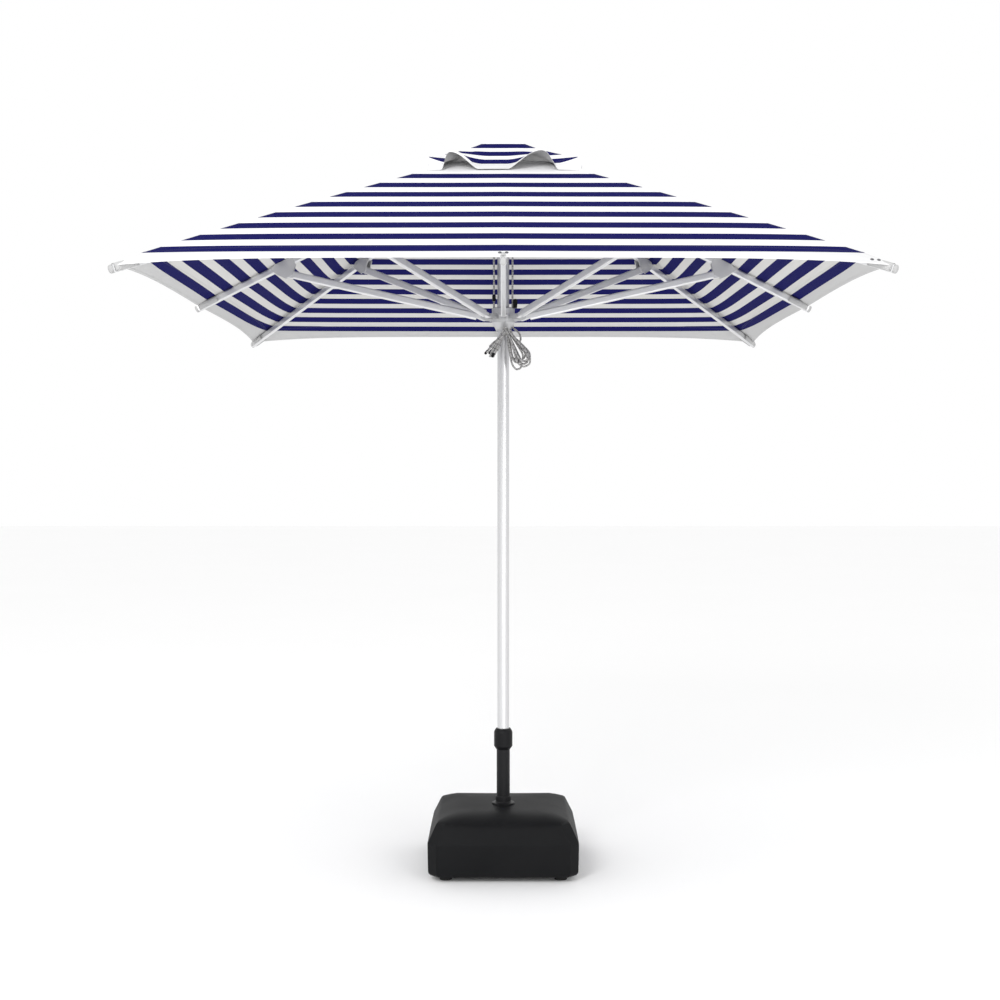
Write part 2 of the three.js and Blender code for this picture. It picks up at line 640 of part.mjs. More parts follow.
const runnerHub = () => {
  const bore = POLE_R + RUNNER_CLEARANCE;
  const core = turned([
    [bore, RUNNER_CORE_Z - RUNNER_NECK],
    [RUNNER_NECK_R, RUNNER_CORE_Z - RUNNER_NECK],
    [RUNNER_NECK_R, RUNNER_CORE_Z - RUNNER_NECK + 8],
    [RUNNER_R, RUNNER_CORE_Z],
    [RUNNER_R, RUNNER_TOP_Z - 5],
    [RUNNER_R - 5, RUNNER_TOP_Z],
    [bore, RUNNER_TOP_Z],
  ], 28);
  const pieces = [core];
  const inner = STRUT_WIDE / 2 + 0.8;
  for (let arm = 1; arm <= ARMS; arm += 1) {
    [-1, 1].forEach((way) => {
      const outline = barShape(RUNNER_R - 6, RUNNER_PIVOT_R, EAR_R, false);
      const ear = upright(outline, EAR, 3, way * (inner + EAR / 2)).translate([0, 0, RUNNER_PIVOT_Z]);
      const head = pin(4.5, 2, 6, RUNNER_PIVOT_R, RUNNER_PIVOT_Z, way * (inner + EAR + 0.8));
      pieces.push(turnedTo(arm, ear), turnedTo(arm, head));
    });
  }
  const below = RUNNER_CORE_Z - RUNNER_NECK - 1;
  const holes = [-1, 1].map((way) => rod(ROPE_R + ROPE_CLEARANCE, below, RUNNER_TOP_Z + 1, 12, way * SHEAVE_R));
  return part('runner_hub', cut(join(pieces), holes), castAlloy);
};

const BLOCK_SHEAVE_X = SHEAVE_R + ROPE_R + BLOCK_SHEAVE_R - 1;
const BLOCK_SHEAVE_Z = RUNNER_TOP_Z + BLOCK_SHEAVE_ABOVE;

const pulleyBlock = () => {
  const bottom = RUNNER_TOP_Z + GAP;
  const half = BLOCK_SHEAVE_R + 1.5;
  const cheek = new THREE.Shape();
  cheek.moveTo(BLOCK_SHEAVE_X - half + 2, bottom);
  cheek.lineTo(BLOCK_SHEAVE_X + half - 2, bottom);
  cheek.lineTo(BLOCK_SHEAVE_X + half, BLOCK_SHEAVE_Z);
  cheek.absarc(BLOCK_SHEAVE_X, BLOCK_SHEAVE_Z, half, 0, Math.PI, false);
  const cheeks = [-1, 1].map((way) => upright(cheek, 3, 5, way * 7));
  const foot = box(SHEAVE_R + ROPE_R + 1.5, BLOCK_SHEAVE_X + half - 2, -8.5, 8.5, bottom, bottom + 8);
  const axle = pin(2, 16, 10, BLOCK_SHEAVE_X, BLOCK_SHEAVE_Z);
  return part('pulley_block', join([...cheeks, foot, axle]), blackPlastic);
};

const blockSheave = () => ropeWheel(
  'block_sheave', BLOCK_SHEAVE_R, BLOCK_SHEAVE_R - 1.6, 2 + PIN_CLEARANCE, 9, BLOCK_SHEAVE_X, BLOCK_SHEAVE_Z, steel,
);

const ropeStop = () => {
  const bottom = RUNNER_TOP_Z + ROPE_STOP_ABOVE;
  return part('rope_stop', turned([
    [ROPE_R + GAP, bottom],
    [7, bottom],
    [7.5, bottom + 4],
    [7.5, bottom + 22],
    [6, bottom + 27],
    [ROPE_R + GAP, bottom + 27],
  ], 16).translate([-SHEAVE_R, 0, 0]), blackPlastic);
};

const ropeFall = (name, x) => part(name, rod(ROPE_R, RUNNER_TOP_Z + GAP, SHEAVE_Z - 2 * GAP, 8, x), rope);

const ropeTopTurn = () => {
  const points = [];
  for (let i = 0; i <= 12; i += 1) {
    const turn = Math.PI * (i / 12);
    points.push([SHEAVE_R * Math.cos(turn), 0, SHEAVE_Z + SHEAVE_R * Math.sin(turn)]);
  }
  return part('rope_top_turn', cordAlong(points, ROPE_R, 16), rope);
};

// The free end of the rope.
const ropeTail = () => part('rope_tail', cordAlong(TAIL_ROUTE, ROPE_R, 14), rope);

// One lobe of the hank: a flat bundle with round ends, from its tied end to its loops.
const hankLobe = (name, { from, to, wide }) => {
  const length = Math.hypot(to[0] - from[0], to[1] - from[1]);
  const lean = (Math.atan2(to[1] - from[1], to[0] - from[0]) * 180) / Math.PI;
  const bundle = upright(barShape(0, length, wide / 2, true), HANK_DEEP, 6);
  return part(name, bundle.rotate([0, -lean, 0]).translate([from[0], -HANK_AT, from[1]]), rope);
};

// ---------------------------------------------------------------- assembly
const umbrella = new THREE.Group();

const baseUnit = new THREE.Group();
baseUnit.add(baseTank(), ballastWater(), fillerCap());
for (let number = 1; number <= 4; number += 1) baseUnit.add(foot(number));
baseUnit.add(stemFlange(), stemTube(), clampNut(), collet());

const poleUnit = new THREE.Group();
poleUnit.add(pole(), crownHub(), crownPinRing(), crownSheave(), sheaveAxle(), ventPlate(), ventCap());
poleUnit.add(ropeTopTurn(), ropeFall('rope_left_fall', -SHEAVE_R), ropeFall('rope_right_fall', SHEAVE_R));

const runner = new THREE.Group();
runner.add(runnerHub(), pulleyBlock(), blockSheave(), ropeStop(), ropeTail());
runner.add(hankLobe('rope_hank_left', HANK_LEFT), hankLobe('rope_hank_right', HANK_RIGHT));

const arms = new THREE.Group();
for (let arm = 1; arm <= ARMS; arm += 1) {
  const link = LINKS[isCorner(arm)];
  const frame = new THREE.Group();
  frame.rotation.z = azimuth(arm);
  const ribFrame = new THREE.Group();
  ribFrame.position.set(CROWN_PIVOT_R, 0, CROWN_PIVOT_Z);
  ribFrame.rotation.y = link.slope;
  const saddle = bracket(arm);
  saddle.position.x = link.at;
  ribFrame.add(rib(arm, link), saddle);
  const strutFrame = new THREE.Group();
  strutFrame.position.set(RUNNER_PIVOT_R, 0, RUNNER_PIVOT_Z);
  strutFrame.rotation.y = -link.strutSlope;
  strutFrame.add(strut(arm, link));
  frame.add(ribFrame, strutFrame);
  arms.add(frame, gore(arm));
}

umbrella.add(baseUnit, poleUnit, runner, arms);

export default umbrella;
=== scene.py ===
"""Looks of the square patio umbrella: striped cloth, vent cap, rope, tank skin and finishes.

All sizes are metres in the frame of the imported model: +Z up, the front faces -Y.
"""

from __future__ import annotations

import json
import logging
import math
from dataclasses import dataclass
from enum import Enum
from typing import Sequence, Union

import bpy
import numpy as np
from mathutils import Matrix, Vector

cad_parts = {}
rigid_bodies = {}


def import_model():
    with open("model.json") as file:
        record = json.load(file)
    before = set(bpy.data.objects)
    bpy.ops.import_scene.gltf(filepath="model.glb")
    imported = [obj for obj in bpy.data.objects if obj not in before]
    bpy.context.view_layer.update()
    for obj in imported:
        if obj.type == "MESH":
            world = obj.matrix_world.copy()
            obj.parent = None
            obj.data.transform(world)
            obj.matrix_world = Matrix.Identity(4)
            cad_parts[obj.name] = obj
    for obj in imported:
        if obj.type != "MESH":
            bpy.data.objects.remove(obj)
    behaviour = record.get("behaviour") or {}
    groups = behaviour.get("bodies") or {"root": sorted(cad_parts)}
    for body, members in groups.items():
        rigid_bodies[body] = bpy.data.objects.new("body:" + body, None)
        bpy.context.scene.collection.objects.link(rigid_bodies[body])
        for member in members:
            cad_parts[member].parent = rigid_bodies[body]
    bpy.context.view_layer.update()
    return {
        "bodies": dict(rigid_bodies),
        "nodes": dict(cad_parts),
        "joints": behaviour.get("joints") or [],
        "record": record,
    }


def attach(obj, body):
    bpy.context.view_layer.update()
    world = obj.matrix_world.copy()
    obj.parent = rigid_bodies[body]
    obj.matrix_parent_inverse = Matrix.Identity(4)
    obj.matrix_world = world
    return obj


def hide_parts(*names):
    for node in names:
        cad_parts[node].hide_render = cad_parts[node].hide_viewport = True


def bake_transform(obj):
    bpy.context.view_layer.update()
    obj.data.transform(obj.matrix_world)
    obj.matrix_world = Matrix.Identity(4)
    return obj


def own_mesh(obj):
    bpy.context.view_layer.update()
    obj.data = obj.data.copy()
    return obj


log = logging.getLogger("umbrella")

Colour = tuple[float, float, float, float]
Point = tuple[float, float, float]


# ---------------------------------------------------------------------------- sizes
@dataclass(frozen=True)
class CanopySize:
    """The canopy's outline; the same values as the frame's own.

    Attributes:
        half: Pole axis to hem.
        apex: Height where the slopes would meet.
        mid_hem: Height of the hem over a mid-side rib.
        corner_hem: Height of the hem over a corner rib.
        vent: Half side of the square vent opening.
        cloth: Thickness of the cloth.
        inset: How far the hem curves in between two ribs, as a share of half.
        sag: How far a panel sags between two ribs.
        hem: Width of the doubled hem.
        drop: How much lower the hem's own edge hangs.
    """

    half: float = 1.250
    apex: float = 2.930
    mid_hem: float = 2.302
    corner_hem: float = 2.275
    vent: float = 0.170
    cloth: float = 0.0015
    inset: float = 0.006
    sag: float = 0.004
    hem: float = 0.082
    drop: float = 0.009


@dataclass(frozen=True)
class CapSize:
    """The vent cap's outline.

    Attributes:
        half: Pole axis to hem.
        top_half: Half side of the flat top.
        top: Height of the flat top.
        hem: Height of the hem at the middle of a side.
        corner_drop: How much lower the hem is at a corner.
        flare: How far an arch leans out.
        ridge: How far the ridges bulge up before they fall to the corners.
        arches: Start, crown and end of each arch in the hem, as shares of half, and its rise.
    """

    half: float = 0.304
    top_half: float = 0.057
    top: float = 2.953
    hem: float = 2.785
    corner_drop: float = 0.007
    flare: float = 0.014
    ridge: float = 0.052
    arches: tuple[tuple[float, float, float, float], ...] = (
        (-0.783, -0.65, -0.33, 0.065),
        (0.07, 0.47, 0.70, 0.070),
    )


CANOPY = CanopySize()
CAP = CapSize()
ARMS = 8
SPLIT = math.tan(math.pi / ARMS)  # where a middle and a corner panel meet, as a share of the side
CROWN_PIVOT_R = 0.062
CROWN_PIVOT_Z = 2.876
RIB_BELOW = 0.0183  # the cloth's inner face to the rib's axis
RIVET_IN = 0.023  # the hem's edge to a rivet
RIVET_SHIFT = 0.011  # a rib's line to each of its rivets
CORNER_RIVETS_IN = 0.032  # a corner to the middle of its two rivets
RUNNER_TOP = 2.282
SHEAVE = 2.900
FALL_X = 0.038
ROPE_RADIUS = 0.0038
TAIL_ROUTE = (
    (0.038, 0.0, 2.221), (0.038, 0.0, 2.211), (0.042, -0.002, 2.199), (0.055, -0.006, 2.189),
    (0.066, -0.012, 2.176), (0.071, -0.020, 2.159), (0.069, -0.028, 2.144), (0.060, -0.035, 2.139),
    (0.048, -0.041, 2.150), (0.038, -0.045, 2.168), (0.028, -0.047, 2.186),
)
KNOT: Point = (0.014, -0.052, 2.190)
HALF_LOOP = ((0.35, 0.25), (0.8, 0.6), (1.0, 0.85), (0.6, 1.0))  # shares of half a loop's width and length
LOOP_LEANS = (0.30, 0.60, 0.42, 0.52, 0.36, 0.48, 0.56)
LOOP_STEP = 0.0072  # one loop in front of the next
STRAND_RADIUS = 0.0034
STRANDS = 11
TIPPED_STRANDS = (2, 6)


class Side(Enum):
    """Which half of a corner panel a piece is."""

    LEFT = -1
    RIGHT = 1


class Slot(Enum):
    """The record's material slots that scene pieces take their finish from."""

    CLOTH = "canopy_cloth"
    ROPE = "rope_braid"
    TANK = "tank_plastic"
    PLASTIC = "black_plastic"
    STEEL = "steel"


def azimuth(arm: int) -> float:
    """The direction of an arm, in radians; arm 1 points to the front."""
    return math.radians(-90 + (arm - 1) * 360 / ARMS)


def radial(angle: float) -> Vector:
    """The unit vector away from the pole at an angle."""
    return Vector((math.cos(angle), math.sin(angle), 0))


def tangent(angle: float) -> Vector:
    """The unit vector across an arm at an angle."""
    return Vector((-math.sin(angle), math.cos(angle), 0))


# ---------------------------------------------------------------------------- shader maths
Input = Union["Socket", float, Sequence[float]]


class Socket:
    """A node output that can be added, multiplied and compared like a number."""

    def __init__(self, net: "Net", output: bpy.types.NodeSocket) -> None:
        self.net = net
        self.output = output

    def __add__(self, other: Input) -> "Socket":
        return self.net.math("ADD", self, other)

    def __radd__(self, other: Input) -> "Socket":
        return self.net.math("ADD", other, self)

    def __sub__(self, other: Input) -> "Socket":
        return self.net.math("SUBTRACT", self, other)

    def __rsub__(self, other: Input) -> "Socket":
        return self.net.math("SUBTRACT", other, self)

    def __mul__(self, other: Input) -> "Socket":
        return self.net.math("MULTIPLY", self, other)

    def __rmul__(self, other: Input) -> "Socket":
        return self.net.math("MULTIPLY", other, self)

    def __truediv__(self, other: Input) -> "Socket":
        return self.net.math("DIVIDE", self, other)

    def __lt__(self, other: Input) -> "Socket":
        return self.net.math("LESS_THAN", self, other)

    def __gt__(self, other: Input) -> "Socket":
        return self.net.math("GREATER_THAN", self, other)

    def __abs__(self) -> "Socket":
        return self.net.math("ABSOLUTE", self)

    def frac(self) -> "Socket":
        """The part after the decimal point."""
        return self.net.math("FRACT", self)

    def sin(self) -> "Socket":
        """The sine, of radians."""
        return self.net.math("SINE", self)

    def least(self, other: Input) -> "Socket":
        """The smaller of two values."""
        return self.net.math("MINIMUM", self, other)

    def most(self, other: Input) -> "Socket":
        """The larger of two values."""
        return self.net.math("MAXIMUM", self, other)


class Net:
    """Builds one material's node tree."""

    def __init__(self, name: str) -> None:
        self.material = bpy.data.materials.new(name)
        self.material.use_nodes = True
        self.tree = self.material.node_tree
        self.shader = self.tree.nodes["Principled BSDF"]

    def node(
        self, kind: str, out: Union[int, str] = 0, settings: dict | None = None, **inputs: Input
    ) -> Socket:
        """Adds any node.

        Args:
            kind: The node's type name, without "ShaderNode".
            out: Which output to return.
            settings: Values of the node's own properties.
            **inputs: Values or sockets by input name, with _ for a space.

        Returns:
            The chosen output.
        """
        made = self.tree.nodes.new("ShaderNode" + kind)
        for key, value in (settings or {}).items():
            setattr(made, key, value)
        for key, value in inputs.items():
            self.feed(made.inputs[key.replace("_", " ")], value)
        return Socket(self, made.outputs[out])

    def feed(self, target: bpy.types.NodeSocket, value: Input) -> None:
        """Links a socket to an input, or sets a constant on it."""
        if isinstance(value, Socket):
            self.tree.links.new(value.output, target)
        else:
            target.default_value = value

    def math(self, operation: str, a: Input, b: Input | None = None) -> Socket:
        """One Math node."""
        made = self.tree.nodes.new("ShaderNodeMath")
        made.operation = operation
        self.feed(made.inputs[0], a)
        if b is not None:
            self.feed(made.inputs[1], b)
        return Socket(self, made.outputs[0])

    def mix(self, factor: Input, a: Input, b: Input) -> Socket:
        """A colour between a and b."""
        made = self.tree.nodes.new("ShaderNodeMix")
        made.data_type = "RGBA"
        self.feed(made.inputs["Factor"], factor)
        # Sockets 6, 7 and 2 are the node's A, B and Result when it mixes colours.
        self.feed(made.inputs[6], a)
        self.feed(made.inputs[7], b)
        return Socket(self, made.outputs[2])

    def scaled(self, vector: Socket, by: Sequence[float]) -> Socket:
        """A vector times another, part by part."""
        made = self.tree.nodes.new("ShaderNodeVectorMath")
        made.operation = "MULTIPLY"
        self.feed(made.inputs[0], vector)
        made.inputs[1].default_value = by
        return Socket(self, made.outputs[0])

    def noise(self, vector: Socket, scale: float, detail: float = 3.0) -> Socket:
        """A noise value from 0 to 1."""
        return self.node("TexNoise", Vector=vector, Scale=scale, Detail=detail)

    def place(self) -> Socket:
        """The surface's own place, in metres."""
        return self.node("TexCoord", "Object")

    def map(self, name: str) -> tuple[Socket, Socket]:
        """The two parts of a named map, in metres."""
        uv = self.node("UVMap", settings={"uv_map": name})
        parts = self.tree.nodes.new("ShaderNodeSeparateXYZ")
        self.feed(parts.inputs[0], uv)
        return Socket(self, parts.outputs[0]), Socket(self, parts.outputs[1])

    def surface(self, bumps: Sequence[tuple[Socket, float]] = (), **inputs: Input) -> bpy.types.Material:
        """Finishes the material.

        Args:
            bumps: Heights and their depth in metres, coarse ones first.
            **inputs: Values or sockets of the surface shader, with _ for a space.

        Returns:
            The material.
        """
        normal = None
        for height, depth in bumps:
            extra = {} if normal is None else {"Normal": normal}
            normal = self.node("Bump", Strength=1.0, Distance=depth, Height=height, **extra)
        if normal is not None:
            self.feed(self.shader.inputs["Normal"], normal)
        for key, value in inputs.items():
            self.feed(self.shader.inputs[key.replace("_", " ")], value)
        return self.material


# ---------------------------------------------------------------------------- finishes
WEAVE = 0.0014  # one thread over and one under
STITCH = 0.0065  # one stitch and the gap after it
STITCH_ROW = 0.0007  # half the width of a row of stitches
SEAM_ROW = 0.0075  # a seam to each of its two rows
SEAM_TAPE = 0.011  # half the width of a seam's tape
HEM_ROWS = 0.006  # between the two inner rows of the hem
EDGE_ROW = 0.009  # the hem's edge to its outer row
ROPE_LAY = 0.007  # along the cord from one crossing of strands to the next
ROPE_MARKER = 0.021  # along the cord from one marker strand to the next


@dataclass(frozen=True)
class Stripes:
    """Stripes across a cloth panel.

    Attributes:
        first: Where the navy stripes begin, in the stripe map.
        last: Where they end.
        pitch: One navy and one light stripe.
        navy: Share of the pitch that is navy.
    """

    first: float
    last: float
    pitch: float
    navy: float


@dataclass(frozen=True)
class ClothFinish:
    """Woven polyester with stripes, a hem and its stitches.

    Attributes:
        name: The material's name.
        stripes: Where the navy stripes are.
        light: Colour of the cloth between them.
        dark: Colour of the navy stripes.
        hem: Colour of the hem.
        hem_at: Where the hem's inner stitch row runs, from the pole axis.
        edge: Where the cloth ends, from the pole axis.
        border: Width of the edge that never has stripes.
    """

    name: str
    stripes: Stripes
    light: Colour
    dark: Colour
    hem: Colour
    hem_at: float
    edge: float
    border: float = 0.0

    def build(self) -> bpy.types.Material:
        """Makes the material; one map gives across and outwards in metres, one the place in the stripes."""
        net = Net(self.name)
        across, out = net.map("cloth")
        level, _ = net.map("stripe")
        weave = (across * (math.tau / WEAVE)).sin() * (out * (math.tau / WEAVE)).sin()
        slub = net.noise(net.place(), 260, 2)
        soft = net.noise(net.place(), 3.0, 2)
        at = (level - self.stripes.first) / self.stripes.pitch
        banded = (at.frac() < self.stripes.navy) * (level > self.stripes.first) * (level < self.stripes.last)
        banded = banded * (out < self.edge - self.border)
        plain = net.mix(level > self.stripes.last, self.light, self.hem)
        # Slub varies the yarn's tone at random; the low-frequency soft noise paints faint shade for the
        # cloth's waviness.
        shade = 0.965 + 0.03 * slub + 0.03 * soft
        colour = net.mix(shade, (0.0, 0.0, 0.0, 1), net.mix(banded, plain, self.dark))
        seam = abs((out - abs(across)) * math.sqrt(0.5))
        stitch = ((across + out) / STITCH).frac() < 0.72
        rows = abs(seam - SEAM_ROW) < STITCH_ROW
        for row in (self.hem_at, self.hem_at + HEM_ROWS, self.edge - EDGE_ROW):
            rows = rows.most(abs(out - row) < STITCH_ROW)
        thread = rows * stitch
        colour = net.mix(thread * 0.12, colour, (0.60, 0.60, 0.6, 1))
        raised = (seam < SEAM_TAPE).most(out > self.hem_at - 0.004)
        return net.surface(
            bumps=((raised, 0.0008), (rows - thread * 1.6, 0.0006), (weave + slub * 0.6, 0.00012)),
            Base_Color=colour,
            Roughness=0.82 + 0.08 * slub,
            Specular_IOR_Level=0.06,
        )


@dataclass(frozen=True)
class MetalFinish:
    """Coated or bare metal with a fine grain.

    Attributes:
        name: The material's name.
        colour: Its colour.
        roughness: Its mean roughness.
        metallic: How metallic it is.
        grain: Scale of the grain.
        depth: Depth of the grain in metres.
        stretch: Grain stretched along each axis, so that a small number runs long.
        gloss: Strength of the reflections of its bare part.
    """

    name: str
    colour: Colour
    roughness: float
    metallic: float
    grain: float = 900.0
    depth: float = 0.00005
    stretch: Point = (1.0, 1.0, 1.0)
    gloss: float = 0.2

    def build(self) -> bpy.types.Material:
        """Makes the material."""
        net = Net(self.name)
        place = net.scaled(net.place(), self.stretch)
        grain = net.noise(place, self.grain, 2)
        cloud = net.noise(place, 14, 3)
        darker = tuple(c * 0.86 for c in self.colour[:3]) + (1.0,)
        colour = net.mix((grain * 0.6 + cloud * 0.4 - 0.2).most(0.0), self.colour, darker)
        return net.surface(
            bumps=((grain, self.depth),),
            Base_Color=colour,
            Roughness=self.roughness - 0.06 + 0.12 * cloud,
            Metallic=self.metallic,
            Specular_IOR_Level=self.gloss,
        )


@dataclass(frozen=True)
class PlasticFinish:
    """Moulded plastic or rubber with a pebble grain.

    Attributes:
        name: The material's name.
        colour: Its colour.
        roughness: Its mean roughness.
        grain: Scale of the pebbles.
        depth: Depth of the pebbles in metres.
        wear: How much paler dust makes the surface.
        gloss: Strength of its reflections.
    """

    name: str
    colour: Colour
    roughness: float
    grain: float = 700.0
    depth: float = 0.0001
    wear: float = 0.02
    gloss: float = 0.2

    def build(self) -> bpy.types.Material:
        """Makes the material."""
        net = Net(self.name)
        place = net.place()
        pebble = net.node("TexVoronoi", "Distance", Vector=place, Scale=self.grain)
        cloud = net.noise(place, 6, 4)
        paler = tuple(min(1.0, c + self.wear) for c in self.colour[:3]) + (1.0,)
        return net.surface(
            bumps=((pebble, self.depth),),
            Base_Color=net.mix(cloud, self.colour, paler),
            Roughness=self.roughness - 0.08 + 0.16 * cloud,
            Specular_IOR_Level=self.gloss,
        )


@dataclass(frozen=True)
class RopeFinish:
    """Braided cord: two sets of strands that cross.

    Attributes:
        name: The material's name.
        light: Colour of the crown of a strand.
        dark: Colour of the marker strand, also painted as shade in the grooves between strands.
    """

    name: str
    light: Colour
    dark: Colour

    def build(self) -> bpy.types.Material:
        """Makes the material; the map gives turns round the cord and metres along it."""
        net = Net(self.name)
        around, along = net.map("cord")
        strands = 6
        right = ((around * strands + along / ROPE_LAY).frac() * math.pi).sin()
        left = ((around * strands - along / ROPE_LAY).frac() * math.pi).sin()
        braid = right.least(left)
        marker = (along / ROPE_MARKER).frac() < 0.22
        # Painted shade: the grooves where the strands cross are darkened towards the dark colour.
        colour = net.mix((braid * 1.2).least(1.0), self.dark, self.light)
        colour = net.mix(marker * 0.55, colour, self.dark)
        return net.surface(bumps=((braid, 0.0006),), Base_Color=colour, Roughness=0.8)


NAVY: Colour = (0.0045, 0.0045, 0.085, 1)
NAVY_UNDER: Colour = (0.008, 0.008, 0.095, 1)
WHITE: Colour = (0.86, 0.86, 0.87, 1)
HEM: Colour = (0.74, 0.74, 0.745, 1)
UNDER_LIGHT: Colour = (0.67, 0.665, 0.65, 1)
UNDER_HEM: Colour = (0.57, 0.57, 0.57, 1)
POCKET_GREY: Colour = (0.50, 0.50, 0.50, 1)
CAP_SHADE: Colour = (0.42, 0.42, 0.42, 1)

TOP_STRIPES = Stripes(0.350, 1.222, 0.1163, 0.50)
UNDER_STRIPES = Stripes(0.173, 1.2195, 0.0719, 0.548)
CAP_STRIPES = Stripes(0.0876, 0.265, 0.069, 0.55)
NO_STRIPES = Stripes(2.0, 2.1, 0.07, 0.5)  # beyond the cloth
NO_HEM = 2.0  # beyond the cloth
CAP_HEM = 0.030
CAP_BORDER = 0.014

FINISHES = {
    "tank_plastic": PlasticFinish(
        "tank_polyethylene", (0.0065, 0.0068, 0.0075, 1), 0.5, 500, 0.00015, 0.004, 0.07
    ),
    "ballast": PlasticFinish("ballast_water", (0.3, 0.45, 0.5, 1), 0.2, 60, 0.0002),
    "foot_rubber": PlasticFinish("foot_rubber", (0.012, 0.012, 0.012, 1), 0.8),
    "black_steel": MetalFinish("black_powder_coat", (0.008, 0.008, 0.009, 1), 0.42, 0.0, 700),
    "black_plastic": PlasticFinish("black_nylon", (0.007, 0.007, 0.008, 1), 0.4, 900, 0.00008, 0.004, 0.12),
    "pole_aluminium": MetalFinish("silver_coat", (0.68, 0.682, 0.69, 1), 0.36, 0.85, 420, 0.00012),
    "arm_aluminium": MetalFinish("satin_anodised", (0.78, 0.782, 0.79, 1), 0.36, 0.7, 260, 0.00004),
    "cast_alloy": MetalFinish("cast_alloy", (0.60, 0.602, 0.61, 1), 0.46, 0.6, 320, 0.0002),
    "steel": MetalFinish("zinc_plated", (0.6, 0.6, 0.62, 1), 0.3, 0.95, 800),
    "rope_braid": RopeFinish("braided_cord", (0.70, 0.69, 0.68, 1), (0.055, 0.055, 0.057, 1)),
    "rivet": MetalFinish("dark_rivet", (0.16, 0.16, 0.17, 1), 0.4, 0.8, 800),
    "cap_white": PlasticFinish("white_nylon", (0.42, 0.42, 0.42, 1), 0.4, 900, 0.00005, 0.02),
}


# ---------------------------------------------------------------------------- mesh helpers
def new_mesh(
    name: str,
    points: Sequence[Sequence[float]],
    faces: Sequence[Sequence[int]],
    materials: Sequence[bpy.types.Material],
    slots: Sequence[int] | None = None,
    maps: dict[str, Sequence[Sequence[float]]] | None = None,
    sharp: float = 35.0,
) -> bpy.types.Object:
    """Makes an object from points and faces.

    Args:
        name: The object's name.
        points: Its vertices.
        faces: Its faces, as lists of vertex numbers.
        materials: Its materials.
        slots: The material number of each face.
        maps: The value at each vertex, by the map's name.
        sharp: Angle in degrees above which an edge stays sharp.

    Returns:
        The object, linked to the scene.
    """
    mesh = bpy.data.meshes.new(name)
    mesh.from_pydata([tuple(p) for p in points], [], [tuple(f) for f in faces])
    for material in materials:
        mesh.materials.append(material)
    if slots is not None:
        mesh.polygons.foreach_set("material_index", np.array(slots, np.int32))
    mesh.polygons.foreach_set("use_smooth", np.ones(len(mesh.polygons), bool))
    corners = np.zeros(len(mesh.loops), np.int32)
    mesh.loops.foreach_get("vertex_index", corners)
    for label, values in (maps or {}).items():
        layer = mesh.uv_layers.new(name=label)
        layer.data.foreach_set("uv", np.array(values, np.float32)[corners].ravel())
    mesh.set_sharp_from_angle(angle=math.radians(sharp))
    mesh.update()
    made = bpy.data.objects.new(name, mesh)
    bpy.context.scene.collection.objects.link(made)
    return made


def shell(
    name: str,
    grid: np.ndarray,
    under: np.ndarray,
    maps: np.ndarray,
    levels: np.ndarray,
    materials: Sequence[bpy.types.Material],
) -> bpy.types.Object:
    """A closed thin piece between two grids of points.

    Args:
        name: The object's name.
        grid: Outer points, rows by columns by 3, facing up with rows going out and columns to the left.
        under: Inner points, in the same order.
        maps: The map's value at each point of the grid, rows by columns by 2.
        levels: The place in the stripes at each point of the grid.
        materials: The outer and the inner face's materials.

    Returns:
        The object.
    """
    rows, columns = grid.shape[:2]
    count = rows * columns
    points = np.concatenate([grid.reshape(-1, 3), under.reshape(-1, 3)])
    both = np.concatenate([maps.reshape(-1, 2), maps.reshape(-1, 2)])
    level = np.concatenate([levels.ravel(), levels.ravel()])
    stripe = np.stack([level, np.zeros_like(level)], axis=1)
    faces, slots = [], []
    for i in range(rows - 1):
        for j in range(columns - 1):
            a, b = i * columns + j, (i + 1) * columns + j
            faces.append((a, b, b + 1, a + 1))
            slots.append(0)
            faces.append((count + a, count + a + 1, count + b + 1, count + b))
            slots.append(1)
    edge = list(range(columns))
    edge += [i * columns + columns - 1 for i in range(1, rows)]
    edge += [(rows - 1) * columns + j for j in range(columns - 2, -1, -1)]
    edge += [i * columns for i in range(rows - 2, 0, -1)]
    for k, a in enumerate(edge):
        b = edge[(k + 1) % len(edge)]
        faces.append((a, b, count + b, count + a))
        slots.append(0)
    return new_mesh(name, points, faces, materials, slots, {"cloth": both, "stripe": stripe})


def row_faces(rows: int, columns: int) -> list[tuple[int, ...]]:
    """The faces between rows of points that all have the same number of columns."""
    starts = [i * columns + j for i in range(rows - 1) for j in range(columns - 1)]
    return [(a, a + 1, a + columns + 1, a + columns) for a in starts]


def ring_faces(rings: int, around: int) -> list[tuple[int, ...]]:
    """The faces of a closed body made of rings of points, from the bottom up."""
    faces = []
    for level in range(rings - 1):
        for i in range(around):
            a, b = level * around + i, level * around + (i + 1) % around
            faces.append((a, b, b + around, a + around))
    faces.append(tuple(range(around))[::-1])
    faces.append(tuple(range((rings - 1) * around, rings * around)))
    return faces


def tube(
    name: str, path: Sequence[Point], radius: float, material: bpy.types.Material, sides: int = 10
) -> bpy.types.Object:
    """A round cord along a path, with its map in turns and metres.

    Args:
        name: The object's name.
        path: The points it follows.
        radius: Its radius.
        material: Its material.
        sides: How many sides it has.

    Returns:
        The object.
    """
    line = [Vector(p) for p in path]
    points, maps = [], []
    ahead = (line[1] - line[0]).normalized()
    up = ahead.orthogonal().normalized()
    along = 0.0
    for i, here in enumerate(line):
        after, before = line[min(i + 1, len(line) - 1)], line[max(i - 1, 0)]
        turn = (after - before).normalized()
        up = (up - turn * up.dot(turn)).normalized()
        side = turn.cross(up)
        along += (here - before).length
        for s in range(sides + 1):
            angle = math.tau * s / sides
            points.append(here + radius * (math.cos(angle) * up + math.sin(angle) * side))
            maps.append((s / sides, along))
    faces = row_faces(len(line), sides + 1)
    faces.append(tuple(range(sides))[::-1])
    last = (len(line) - 1) * (sides + 1)
    faces.append(tuple(last + s for s in range(sides)))
    return new_mesh(name, points, faces, [material], None, {"cord": maps}, 50)


